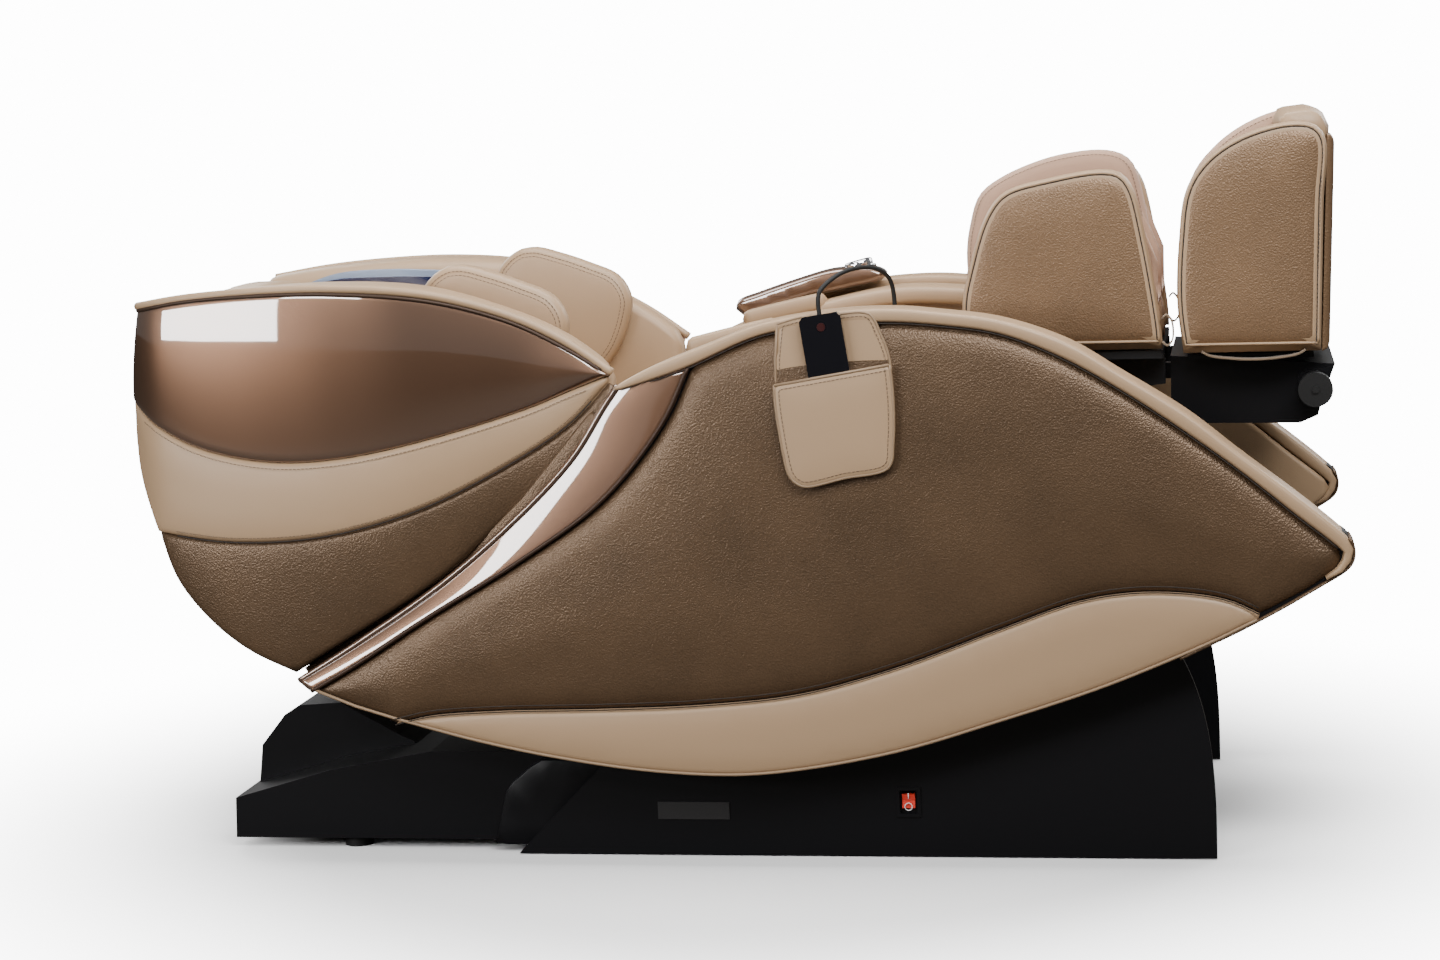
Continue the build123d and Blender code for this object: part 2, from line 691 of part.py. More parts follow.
def tub_outline(inset=0):
    """The back shell seen from the side: a deep tub below the back's own line."""
    k = inset
    with BuildSketch() as face:
        with BuildLine():
            start, end = along_back(95, -k), along_back(BACK_LONG + 10 - k, -k)
            Line(start, end)
            Spline(end, (-910 + k, 694), (-905 + k, 611), (-862 + k, 489 + k * 0.3),
                   (-787 + k * 0.7, 366 + k * 0.7), (-666 + k * 0.3, 286 + k), (-530, 264 + k),
                   (-400 - k * 0.3, 308 + k), (-270 - k * 0.5, 400 + k))
            Line((-270 - k * 0.5, 400 + k), start)
        make_face()
    return face.sketch


def make_back_shell():
    with BuildPart() as tub:
        add(between(tub_outline(), -TUB_HALF, TUB_HALF))
        add(between(tub_outline(SKIN), -TUB_HALF + SKIN, TUB_HALF - SKIN), mode=Mode.SUBTRACT)
        opening = [along_back(130, -2 * SKIN), along_back(130, 5), along_back(BACK_LONG - 20, 5),
                   along_back(BACK_LONG - 20, -2 * SKIN)]
        add(side_slab(opening, -250, 250), mode=Mode.SUBTRACT)
    save(tub.part, "back_shell")


def make_wings():
    """Each flank from outside in: glossy panel on its bolster, pale band and brown flank on the tub."""
    outer = plan_block()
    inner = plan_block(-8)
    with BuildPart() as gloss:
        add(between(wing_region(), -410, -240))
        add(outer, mode=Mode.INTERSECT)
        add(inner, mode=Mode.SUBTRACT)
    save(both_sides(gloss.part.solids().sort_by(SortBy.VOLUME)[-1]), "wing_panels")
    with BuildPart() as bolster:
        add(between(bolster_region(), -410, -262))
        add(inner, mode=Mode.INTERSECT)
        for region in (band_region(), flank_region()):
            add(between(region, -420, -TUB_HALF), mode=Mode.SUBTRACT)
    save(both_sides(bolster.part.solids().sort_by(SortBy.VOLUME)[-1]), "back_bolsters")
    for region, name in ((band_region(), "wing_bands"), (flank_region(), "back_flanks")):
        with BuildPart() as piece:
            add(between(region, -410, -TUB_HALF))
            add(outer, mode=Mode.INTERSECT)
        save(both_sides(piece.part.solids().sort_by(SortBy.VOLUME)[-1]), name)


CUSHION_WIDE = 262        # half width of the back cushion


def make_back_padding():
    """Back cushion with a round lower end about the hinge, the head pillow and the shoulder pads."""
    reach = CUSHION_HALF
    with BuildPart() as cushion:
        with BuildSketch(side(CUSHION_WIDE)):
            with BuildLine():
                ThreePointArc(along_back(0, reach), along_back(-reach, 0), along_back(0, -reach))
                Polyline(along_back(0, -reach), along_back(60, -reach), along_back(95, 8.5),
                         along_back(BACK_LONG - 10, 8.5), along_back(BACK_LONG - 10, reach),
                         along_back(0, reach))
            make_face()
        extrude(amount=2 * CUSHION_WIDE)
    save(cushion.part, "back_cushion")
    with BuildPart() as pillow:
        with BuildSketch(side(150)):
            with BuildLine():
                Polyline(along_back(640, reach), along_back(660, reach + 50), along_back(800, reach + 62),
                         along_back(BACK_LONG - 20, reach + 40), along_back(BACK_LONG - 10, reach),
                         close=True)
            make_face()
        extrude(amount=300)
    save(pillow.part, "head_pillow")
    with BuildPart() as pad:
        with BuildSketch(side(-216)):
            with BuildLine():
                Spline((-296, 672), (-250, 758), (-262, 830), (-364, 873), (-430, 878), (-470, 838))
                Polyline((-470, 838), (-440, 726), (-296, 672))
            make_face()
        extrude(amount=46)
    save(both_sides(pad.part), "shoulder_pads")
    with BuildPart() as speaker:
        with BuildSketch(side(-252)):
            with BuildLine():
                Spline((-822, 822), (-750, 846), (-662, 850), (-539, 843), (-498, 824))
                Spline((-498, 824), (-560, 800), (-662, 792), (-760, 800), (-822, 822))
            make_face()
        extrude(amount=10)
    save(both_sides(speaker.part), "speaker_trims")


def back_bar(distance, half):
    """A square bar across the back, square to the back's own line."""
    corners = [(-half, -half), (half, -half), (half, half), (-half, half)]
    return side_slab([along_back(distance + a, -24 + b) for a, b in corners], -278, 278)


def make_back_frame():
    """Steel side plates from the hinge to the head, with cross tubes and the massage track on them."""
    with BuildPart() as frame:
        for side_sign in (-1, 1):
            y0, y1 = sorted((side_sign * 278, side_sign * TUBE_OUT))
            add(side_slab([along_back(-20, -18), along_back(-20, 18), along_back(60, 0), along_back(90, -8),
                           along_back(860, -8), along_back(860, -40), along_back(90, -46),
                           along_back(20, -30)],
                          y0, y1))
        for distance in (140, 840):
            add(back_bar(distance, 12))
            add(back_bar(distance, 10), mode=Mode.SUBTRACT)
        add(cross_pin(BACK_PIVOT, PIN_R + PIN_PLAY, -300, 300), mode=Mode.SUBTRACT)
    save(frame.part, "back_frame")
    rail = side_slab([along_back(152, -16), along_back(828, -16), along_back(828, -28), along_back(152, -28)],
                     -160, -148)
    save(both_sides(rail), "track_rails")


TRACK = 148


def make_massage_unit():
    """The carriage that runs inside the back, with two shafts of kneading rollers."""
    at = 300
    with BuildPart() as body:
        add(side_slab([along_back(at - 70, -48), along_back(at + 70, -48), along_back(at + 70, -110),
                       along_back(at - 70, -110)], -TRACK + 2, TRACK - 2))
        for low_y in (-TRACK + 1, TRACK - 13):
            for d in (-50, 50):
                add(side_slab([along_back(at + d - 14, -48), along_back(at + d - 14, -8),
                               along_back(at + d + 14, -8), along_back(at + d + 14, -48)], low_y, low_y + 12))
        for d in (-50, 50):
            add(cross_pin(along_back(at + d, -18), 5 + PIN_PLAY, -200, 200), mode=Mode.SUBTRACT)
    save(body.part, "massage_carriage")
    for d, name in ((-50, "kneading_rollers_lower"), (50, "kneading_rollers_upper")):
        with BuildPart() as shaft:
            centre = along_back(at + d, -18)
            add(cross_pin(centre, 5, -TRACK + 1, TRACK - 1))
            for y in (-70, 46):
                add(cross_pin(centre, 24, y, y + 24))
        save(shaft.part, name)


# ---- leg rest -----------------------------------------------------------------------------------
WELL_IN = LEG_WALL / 2                   # each leg's channel, from the middle wall
WELL_OUT = LEG_HALF - LEG_WALL
LINING = 4


def leg_channels(points, grow=0.0):
    """Both legs' channels as one cutter, from a side outline."""
    right = side_slab(points, -WELL_OUT - grow, -WELL_IN + grow)
    return both_sides(right)


def make_calf_block():
    """A padded block with a channel for each calf, and the fabric lining in the channels."""
    with BuildPart() as block:
        with BuildSketch(side(LEG_HALF)):
            with BuildLine():
                Spline((350, 730), (344, 800), (356, 860), (382, 935), (410, 968))
                Spline((410, 968), (477, 985), (549, 996), (582, 986), (594, 968))
                Spline((594, 968), (613, 892), (636, 747), (636, 730))
                Line((636, 730), (350, 730))
            make_face()
        extrude(amount=2 * LEG_HALF)
        add(leg_channels(CALF_WELL), mode=Mode.SUBTRACT)
    save(block.part, "calf_block")
    low = [(300, 816), (300, 820), (700, 800), (700, 796)]
    with BuildPart() as lining:
        add(side_slab([(346, 812.4), (355, 856), (385, 935), (606, 900), (622, 800)], -WELL_OUT, -WELL_IN))
        add(side_slab([(300, 816), (330, 940), (380, 980), (650, 960), (650, 800)],
                      -WELL_OUT + LINING, -WELL_IN - LINING), mode=Mode.SUBTRACT)
        add(leg_channels(CALF_WELL), mode=Mode.INTERSECT)
    save(both_sides(lining.part), "calf_linings")


CALF_WELL = [(300, 812), (300, 1100), (700, 1100), (700, 794)]
FOOT_WELL = [(600, 770), (600, 1100), (846, 1100), (838, 766)]


def make_foot_block():
    """A padded block with a channel for each foot, closed at the soles by the back panel."""
    with BuildPart() as block:
        with BuildSketch(side(LEG_HALF)):
            with BuildLine():
                Spline((662, 738), (655, 804), (659, 891), (670, 962), (699, 1004), (749, 1038), (820, 1056),
                       (858, 1050), (871, 1027))
                Spline((871, 1027), (867, 942), (860, 730))
                Polyline((860, 730), (850, 722), (670, 722), (662, 738))
            make_face()
        extrude(amount=2 * LEG_HALF)
        add(leg_channels(FOOT_WELL), mode=Mode.SUBTRACT)
    save(block.part, "foot_block")
    with BuildPart() as lining:
        add(side_slab([(662, 769), (662, 900), (700, 990), (842, 1020), (838, 766)], -WELL_OUT, -WELL_IN))
        add(side_slab([(600, 774), (600, 1100), (839, 1100), (834, 774)],
                      -WELL_OUT + LINING, -WELL_IN - LINING), mode=Mode.SUBTRACT)
        add(leg_channels(FOOT_WELL), mode=Mode.INTERSECT)
    save(both_sides(lining.part), "foot_linings")
    panel = side_slab([(871.5, 1027), (868, 942), (860.8, 722), (874, 722), (882, 942), (887, 1036)],
                      -LEG_HALF + 26, LEG_HALF - 26)
    save(panel, "foot_back_panel")


def make_calf_frame():
    """The leg rest's swing frame: pivot tube, arms, a tray under the calf block and two guide tubes."""
    x, z = LEG_PIVOT
    with BuildPart() as frame:
        add(cross_pin(LEG_PIVOT, 17, -TUBE_OUT, TUBE_OUT))
        for side_sign in (-1, 1):
            y0, y1 = sorted((side_sign * 150, side_sign * 158))
            add(side_slab([(x - 14, z - 10), (x + 10, z - 16), (636, 676), (636, 720), (x + 30, 720),
                           (x - 10, z + 14)], y0, y1))
            y0, y1 = sorted((side_sign * 118, side_sign * 150))
            add(box_between((520, y0, 678), (636, y1, 710)))
            y0, y1 = sorted((side_sign * 122, side_sign * 146))
            add(box_between((510, y0, 682), (640, y1, 706)), mode=Mode.SUBTRACT)
        add(box_between((450, -210, 718), (634, 210, 730)))
        add(cross_pin(LEG_PIVOT, PIN_R + PIN_PLAY, -300, 300), mode=Mode.SUBTRACT)
    save(frame.part, "calf_frame")
    with BuildPart() as pins:
        add(pivot_pins(LEG_PIVOT, 262, PLATE_OUT))
        add(pivot_pins(BACK_PIVOT, 270, PLATE_OUT))
    save(pins.part, "frame_pins")


def make_foot_housing():
    """The black housing under the foot block, with guide bars that telescope into the calf frame."""
    outer = [(644, 718), (881, 702), (862, 649), (856, 627), (830, 616), (690, 618), (644, 656)]
    inner = [(648, 713), (874, 698), (857, 650), (852, 631), (829, 620), (692, 622), (648, 659)]
    with BuildPart() as housing:
        add(side_slab(outer, -172, 172))
        add(side_slab(inner, -168, 168), mode=Mode.SUBTRACT)
        for side_sign in (-1, 1):
            y0, y1 = sorted((side_sign * 122.5, side_sign * 145.5))
            add(box_between((520, y0, 682.5), (648, y1, 705.5)))
            y0, y1 = sorted((side_sign * 172, side_sign * 177))
            add(side_slab([(828, 652), (828, 690), (874, 698), (866, 656), (858, 640)], y0, y1))
        add(cross_pin(FOOT_WHEEL, 5 + PIN_PLAY, -222, 222), mode=Mode.SUBTRACT)
        add(box_between((670, -200, 714), (850, 200, 722)))
    save(housing.part, "foot_housing")
    with BuildPart() as wheels:
        add(cross_pin(FOOT_WHEEL, 5, -215, 215))
        for y in (-212, 184):
            add(cross_pin(FOOT_WHEEL, 25, y, y + 28))
    save(wheels.part, "foot_wheels")


FOOT_WHEEL = (852, 668)


def make_motors():
    """Geared motors at the three motorised pivots, each a gearbox with a motor can along Y."""
    places = {"tilt_motor": (TILT_PIVOT[0] + 60, TILT_PIVOT[1] + 62, 180),
              "recline_motor": (BACK_PIVOT[0] + 72, BACK_PIVOT[1] - 84, 180)}
    for name, (x, z, reach) in places.items():
        with BuildPart() as motor:
            add(box_between((x - 34, PLATE_IN - 40, z - 30), (x + 34, PLATE_IN, z + 30)))
            add(cross_pin((x, z), 24, PLATE_IN - reach, PLATE_IN - 40))
        save(motor.part, name)


os.makedirs("parts", exist_ok=True)
make_side_shells()
make_side_cladding()
make_arm_pads()
make_seat_cushion()
make_seat_pan()
make_seat_frame()
make_pocket()
make_handset()
make_cord()
make_gland()
make_control_panel()
make_base_cheeks()
make_switch()
make_base_frame()
make_front_panel()
make_rear_cover()
make_carriage()
make_back_shell()
make_wings()
make_back_padding()
make_back_frame()
make_massage_unit()
make_calf_block()
make_foot_block()
make_calf_frame()
make_foot_housing()
make_motors()
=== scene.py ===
import math

import bmesh
import bpy
import numpy as np
from mathutils import Matrix, Vector
from mathutils.geometry import delaunay_2d_cdt


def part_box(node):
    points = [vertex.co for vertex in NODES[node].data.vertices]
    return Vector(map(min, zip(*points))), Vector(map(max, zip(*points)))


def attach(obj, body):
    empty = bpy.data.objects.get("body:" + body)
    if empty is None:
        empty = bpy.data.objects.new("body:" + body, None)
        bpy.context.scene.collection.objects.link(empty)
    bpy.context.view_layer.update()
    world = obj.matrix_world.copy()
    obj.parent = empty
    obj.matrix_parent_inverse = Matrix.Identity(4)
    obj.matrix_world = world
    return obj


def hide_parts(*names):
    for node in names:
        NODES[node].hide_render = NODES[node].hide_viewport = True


bl_info = {
    "name": "Massage chair",
    "version": (1, 0, 0),
    "blender": (4, 5, 0),
    "location": "View3D > Sidebar > Massage chair",
    "description": "Builds the upholstery, trim and finishes of a reclining massage chair "
                   "on its packed frame",
    "category": "Object",
}

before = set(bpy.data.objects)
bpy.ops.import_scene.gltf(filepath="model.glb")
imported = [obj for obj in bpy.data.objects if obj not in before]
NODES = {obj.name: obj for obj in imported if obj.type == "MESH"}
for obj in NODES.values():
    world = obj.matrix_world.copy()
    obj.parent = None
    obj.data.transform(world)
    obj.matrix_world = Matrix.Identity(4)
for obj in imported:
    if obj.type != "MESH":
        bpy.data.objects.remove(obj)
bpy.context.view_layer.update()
MM = 0.001
BACKGROUND = 14.0               # brightness of the studio's background
SKY_LIGHT = 0.2                 # brightness of the light that comes from all round
FLOOR_HALF = 40.0               # half the floor's side, in metres
FADE_START, FADE_END = 0.7, 1.8  # where the floor runs into the background, in metres from the middle
CAMERA_PLACE = (0.750, -4.614, 1.122)
CAMERA_TURN = (10.009, 7.311, -2.070)   # yaw, pitch and roll in degrees
CAMERA_LENS, CAMERA_SENSOR = 75.04, 36.0
CORD_LENGTH, CORD_RADIUS = 0.2152, 0.00325
SOFTBOXES = [  # name, place, what it looks at, width, height and power
    ("key", (-2.6, -2.4, 1.0), (-1.7, 0.0, 0.85), 2.3, 0.42, 60),
    ("strip", (-1.0, -2.4, 1.6), (-0.3, -0.3, 0.5), 0.75, 0.5, 22),
    ("front", (1.3, -2.3, 2.7), (0.35, -0.2, 0.6), 2.4, 1.0, 125),
    ("top", (0.0, -0.1, 3.0), (0.0, 0, 0.5), 3.0, 1.4, 115),
    ("rim", (-2.4, 2.4, 2.2), (-0.3, 0, 0.6), 1.6, 1.4, 50),
    ("far", (2.2, 2.6, 2.2), (0.3, 0, 0.6), 1.6, 1.4, 45),
]
# The first factor paints the leg panels' brown leather lighter than the arms': painted light for the stronger
# light they catch.
# The last factor paints the bronze of the edge tubes darker: painted shade along the lacquered panels' rolled
# edges.
LIT_BROWN_OVER_BROWN, PIPING_OVER_CREAM, SHADED_BRONZE_OVER_BRONZE = 1.85, 0.7, 0.25   # related covers' brightness

# ---- side outlines, in millimetres as (x, z) -----------------------------------------------------
ARM_TOP = [(-148, 709), (-92, 737), (-7, 769), (71, 797), (158, 811), (254, 815), (329, 808), (413, 795),
           (506, 762), (579, 717), (671, 658), (743, 600), (825, 536), (872, 497), (889, 481)]
BAND_LOW = [(-138, 704), (-42, 733), (72, 779), (158, 791), (254, 794), (329, 788), (413, 774), (496, 740),
            (579, 692), (661, 636), (743, 575), (824, 508), (862, 478), (876, 466)]
STRIP_REAR = [(-148, 709), (-172, 677), (-220, 606), (-322, 505), (-428, 418), (-552, 336), (-644, 280)]
STRIP_FRONT = [(-32, 736), (-72, 656), (-165, 546), (-294, 457), (-434, 376), (-548, 305), (-621, 264)]
CRESCENT_TOP = [(-495, 214), (-441, 226), (-335, 233), (-184, 236), (-35, 242), (112, 258), (258, 298),
                (403, 352), (517, 392), (602, 404), (685, 400), (730, 390), (766, 373)]
ARM_BOTTOM = [(764, 363), (712, 337), (656, 312), (543, 266), (399, 218), (254, 174), (107, 146), (11, 138),
              (-115, 144),              (-249, 163), (-370, 188), (-490, 220)]
WING_LOW = [(-168, 720), (-230, 697), (-289, 674), (-426, 636), (-565, 610), (-673, 607), (-780, 627),
            (-856, 660), (-908, 694)]
WING_HIGH = [(-168, 722), (-230, 762), (-316, 806), (-425, 840), (-560, 855), (-700, 855), (-800, 848),
             (-880, 835)]
RIM_HIGH = [(-160, 724), (-232, 778), (-318, 819), (-437, 855), (-588, 866), (-773, 856), (-884, 842)]
BAND_BOTTOM = [(-172, 708), (-231, 648), (-323, 590), (-447, 532), (-586, 496), (-726, 487), (-866, 499)]
CALF_RIDGE = [(348, 735), (338, 800), (334, 872), (341, 915), (355, 956), (389, 982), (448, 1006),
              (494, 1016), (540, 1019), (567, 1014), (587, 1000), (613, 895), (630, 773), (632, 735)]
FOOT_RIDGE = [(666, 728), (659, 800), (658, 879), (662, 916), (675, 969), (705, 1013), (749, 1047),
              (801, 1068), (832, 1070), (850, 1060), (856, 1037), (852, 942), (850, 800), (848, 728)]
CALF_FACE = [(350, 733), (344, 800), (356, 858), (381, 932), (408, 966), (477, 985), (549, 995), (577, 990),
             (594, 970), (613, 892), (633, 760), (634, 733)]
FOOT_FACE = [(664, 726), (656, 800), (660, 891), (671, 962), (699, 1004), (749, 1037), (820, 1055),
             (856, 1049), (870, 1028), (866, 942), (862, 800), (860, 726)]
BACK_PLAN = [(-150, 318), (-230, 320), (-300, 327), (-380, 351), (-470, 378), (-560, 389), (-640, 391),
             (-720, 387), (-800, 374), (-860, 352), (-895, 322), (-912, 296), (-925, 262)]
SHOULDER = [(-298, 674), (-268, 712), (-249, 758), (-243, 796), (-262, 832), (-310, 855), (-364, 874),
            (-406, 884), (-440, 874), (-468, 838), (-462, 790), (-440, 735), (-380, 700), (-330, 684),
            (-300, 675)]
SEAT_RISE, BACK_RISE = math.radians(28.4), math.radians(18.0)
HINGE = (-50.0, 490.0)


# ---- curves and outlines --------------------------------------------------------------------------
def smooth(points, step=12.0):
    """A Catmull-Rom curve through the points, sampled about every step millimetres."""
    p = np.array(points, float)
    ends = np.vstack([2 * p[0] - p[1], p, 2 * p[-1] - p[-2]])
    out = []
    for i in range(1, len(ends) - 2):
        p0, p1, p2, p3 = ends[i - 1:i + 3]
        count = max(2, int(np.linalg.norm(p2 - p1) / step))
        k = [max(np.linalg.norm(b - a), 1e-6) ** 0.5 for a, b in ((p0, p1), (p1, p2), (p2, p3))]
        m1 = (p2 - p1) + k[1] * ((p1 - p0) / k[0] - (p2 - p0) / (k[0] + k[1]))
        m2 = (p2 - p1) + k[1] * ((p3 - p2) / k[2] - (p3 - p1) / (k[1] + k[2]))
        for t in np.linspace(0, 1, count, endpoint=False):
            t2, t3 = t * t, t * t * t
            out.append((2 * t3 - 3 * t2 + 1) * p1 + (t3 - 2 * t2 + t) * m1
                       + (3 * t2 - 2 * t3) * p2 + (t3 - t2) * m2)
    out.append(p[-1])
    return np.array(out)


def resample(curve, count):
    """The same curve at evenly spaced points."""
    c = np.array(curve, float)
    run = np.concatenate([[0], np.cumsum(np.linalg.norm(np.diff(c, axis=0), axis=1))])
    at = np.linspace(0, run[-1], count)
    return np.stack([np.interp(at, run, c[:, i]) for i in range(c.shape[1])], axis=1)


def ring_of(*curves, step=12.0):
    """Several curves end to end as one closed outline, without doubled corners."""
    points = []
    for curve in curves:
        for q in resample(curve, max(2, int(length_of(curve) / step) + 1)):
            if not points or np.linalg.norm(q - points[-1]) > 2.0:
                points.append(q)
    if np.linalg.norm(points[0] - points[-1]) < 2.0:
        points.pop()
    return np.array(points)


def length_of(curve):
    return float(np.linalg.norm(np.diff(np.array(curve, float), axis=0), axis=1).sum())


def area_of(outline):
    x, z = outline[:, 0], outline[:, 1]
    return 0.5 * float(np.sum(x * np.roll(z, -1) - np.roll(x, -1) * z))


def distance_to(outline, points):
    """Each point's distance to a closed outline."""
    a, b = outline, np.roll(outline, -1, axis=0)
    ab = b - a
    best = np.full(len(points), 1e9)
    for start, edge in zip(a, ab):
        t = np.clip(((points - start) @ edge) / max(edge @ edge, 1e-9), 0, 1)
        best = np.minimum(best, np.linalg.norm(points - start - t[:, None] * edge, axis=1))
    return best


def inside(outline, points):
    a, b = outline, np.roll(outline, -1, axis=0)
    hit = np.zeros(len(points), bool)
    for (x1, z1), (x2, z2) in zip(a, b):
        if z1 == z2:
            continue
        crosses = (z1 > points[:, 1]) != (z2 > points[:, 1])
        hit ^= crosses & (points[:, 0] < (x2 - x1) * (points[:, 1] - z1) / (z2 - z1) + x1)
    return hit


def inset(outline, depth):
    """The outline moved inwards, for seams and stitch runs; points that would cross are dropped."""
    if area_of(outline) < 0:
        outline = outline[::-1]
    ahead = np.roll(outline, -1, axis=0) - np.roll(outline, 1, axis=0)
    normal = np.stack([-ahead[:, 1], ahead[:, 0]], axis=1)
    normal /= np.maximum(np.linalg.norm(normal, axis=1), 1e-9)[:, None]
    moved = outline + normal * depth
    keep = inside(outline, moved) & (distance_to(outline, moved) > abs(depth) * 0.93)
    return moved[keep]


def fill(outline, edge, spacing):
    """Fills an outline, denser near its edge. Returns its points and triangles."""
    if area_of(outline) < 0:
        outline = outline[::-1]
    points = [outline]
    for share in (0.12, 0.35, 0.65, 1.0):
        points.append(inset(outline, edge * share))
    low, high = outline.min(0), outline.max(0)
    gx, gz = np.meshgrid(np.arange(low[0], high[0], spacing), np.arange(low[1], high[1], spacing))
    gx = gx + (np.arange(gx.shape[0]) % 2)[:, None] * spacing / 2
    grid = np.stack([gx.ravel(), gz.ravel()], axis=1)
    grid = grid[inside(outline, grid)]
    grid = grid[distance_to(outline, grid) > edge * 1.0 + spacing * 0.45]
    points.append(grid)
    flat = np.vstack(points)
    rim = list(range(len(outline)))
    verts, _, faces, _, _, _ = delaunay_2d_cdt([Vector(p) for p in flat], [], [rim], 1, 1e-4)
    return np.array([tuple(v) for v in verts]), [list(f) for f in faces]


def round_edge(distance, edge):
    """A quarter-round rise from 0 at the edge to 1 at the given distance in."""
    t = 1 - np.clip(distance / edge, 0, 1)
    return np.sqrt(np.maximum(0.0, 1 - t * t))


# ---- meshes -----------------------------------------------------------------------------------------
def new_piece(name, verts_mm, faces, material, body, slot, nodes=(), flip=False, flat=False):
    """A finished mesh object in metres that rides on a body and may replace CAD nodes; the slot argument is
    not used.
    """
    mesh = bpy.data.meshes.new(name)
    mesh.from_pydata([tuple(float(c) * MM for c in v) for v in verts_mm], [], [list(f) for f in faces])
    mesh.validate()
    clean(mesh, flip)
    mesh.polygons.foreach_set("use_smooth", [not flat] * len(mesh.polygons))
    piece = bpy.data.objects.new(name, mesh)
    bpy.context.scene.collection.objects.link(piece)
    mesh.materials.append(MATERIALS[material])
    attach(piece, body)
    if nodes:
        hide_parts(*nodes)
    return piece


def clean(mesh, flip=False):
    """Merges doubles and points every face outwards."""
    bm = bmesh.new()
    bm.from_mesh(mesh)
    bmesh.ops.remove_doubles(bm, verts=bm.verts, dist=2e-5)
    bmesh.ops.recalc_face_normals(bm, faces=bm.faces)
    if flip:
        bmesh.ops.reverse_faces(bm, faces=bm.faces)
    bm.to_mesh(mesh)
    bm.free()


def add_shape(store, verts, faces):
    """Appends one closed shape to a growing (verts, faces) pair."""
    start = len(store[0])
    store[0].extend([tuple(v) for v in verts])
    store[1].extend([[i + start for i in f] for f in faces])


def mirrored(store):
    """The shapes so far and their mirror images in Y."""
    verts, faces = list(store[0]), [list(f) for f in store[1]]
    count = len(verts)
    verts += [(x, -y, z) for x, y, z in store[0]]
    faces += [[i + count for i in reversed(f)] for f in store[1]]
    return verts, faces


def new_pair(name, shape, *finish):
    """A piece and its mirror image on the other side, as one object."""
    store = ([], [])
    add_shape(store, *shape)
    return new_piece(name, *mirrored(store), *finish)


def panel_shape(outline, front, back, edge=6.0, drop=5.0, spacing=16.0, swell=0.0, reach=100.0):
    """A padded panel on the right: outer face at y = -front(x, z), rolled edges, a wall to -back."""
    points, faces = fill(outline, edge, spacing)
    depth = distance_to(outline, points)
    y = front(points[:, 0], points[:, 1]) - drop * (1 - round_edge(depth, edge))
    y = y + swell * np.sin(np.clip(depth / reach, 0, 1) * math.pi / 2)
    count = len(points)
    verts = [(p[0], -v, p[1]) for p, v in zip(points, y)] + [(p[0], -back, p[1]) for p in points]
    out = [list(f) for f in faces] + [[i + count for i in reversed(f)] for f in faces]
    out += wall_between(faces, count)
    return verts, out


def wall_between(faces, count):
    """Quads that join the open edges of a sheet to those of its copy, count vertices further on."""
    edges = {}
    for f in faces:
        for a, b in zip(f, f[1:] + f[:1]):
            key = (min(a, b), max(a, b))
            edges[key] = None if key in edges else (a, b)
    return [[b, a, a + count, b + count] for pair in edges.values() if pair for a, b in [pair]]


def slab_shape(outline, y_low, y_high, edge=12.0, spacing=18.0, belly=0.0):
    """A padded slab between two Y planes with rounded rims; belly swells its faces."""
    points, faces = fill(outline, edge, spacing)
    depth = distance_to(outline, points)
    mid, half = (y_low + y_high) / 2, (y_high - y_low) / 2
    swell = belly * np.sin(np.clip(depth / max(depth.max(), 1), 0, 1) * math.pi / 2)
    t = half * (0.35 + 0.65 * round_edge(depth, edge)) + swell
    count = len(points)
    verts = [(q[0], mid + side * v, q[1]) for side in (-1, 1) for q, v in zip(points, t)]
    out = [list(f) for f in faces] + [[i + count for i in reversed(f)] for f in faces]
    return verts, out + wall_between(faces, count)


def grid_shape(front, back):
    """A closed shell between two grids of points (rows x columns x 3)."""
    rows, cols = front.shape[:2]
    count = rows * cols
    verts = list(map(tuple, front.reshape(-1, 3))) + list(map(tuple, back.reshape(-1, 3)))
    faces = [[r * cols + c, r * cols + c + 1, (r + 1) * cols + c + 1, (r + 1) * cols + c]
             for r in range(rows - 1) for c in range(cols - 1)]
    out = faces + [[i + count for i in reversed(f)] for f in faces] + wall_between(faces, count)
    return verts, out


def loft_shape(rings):
    """A tube of closed rings with filled ends."""
    rings = [np.array(r, float) for r in rings]
    n = len(rings[0])
    verts = [tuple(v) for r in rings for v in r]
    faces = [[k * n + i, k * n + (i + 1) % n, (k + 1) * n + (i + 1) % n, (k + 1) * n + i]
             for k in range(len(rings) - 1) for i in range(n)]
    faces.append(list(range(n))[::-1])
    faces.append([(len(rings) - 1) * n + i for i in range(n)])
    return verts, faces


def side_sweep(path, section, ends=0.0, scale=None):
    """A section of (y, height) points carried along a side-view path; ends is the length rounded off."""
    path = np.array(path, float)
    ahead = np.gradient(path, axis=0)
    ahead /= np.linalg.norm(ahead, axis=1)[:, None]
    up = np.stack([-ahead[:, 1], ahead[:, 0]], axis=1)
    if up[:, 1].mean() < 0:
        up = -up
    run = np.concatenate([[0], np.cumsum(np.linalg.norm(np.diff(path, axis=0), axis=1))])
    section = np.array(section, float)
    centre = section.mean(0)
    rings = []
    for i, (p, u) in enumerate(zip(path, up)):
        grow = np.ones(2)
        if ends > 0:
            near = min(run[i], run[-1] - run[i])
            grow *= max(0.12, float(round_edge(np.array(near), ends)))
        shape = centre + (section - centre) * grow
        if scale is not None:
            shape = shape * np.array([1.0, scale(run[i] / run[-1])])
        rings.append([(p[0] + u[0] * h, y, p[1] + u[1] * h) for y, h in shape])
    return loft_shape(rings)


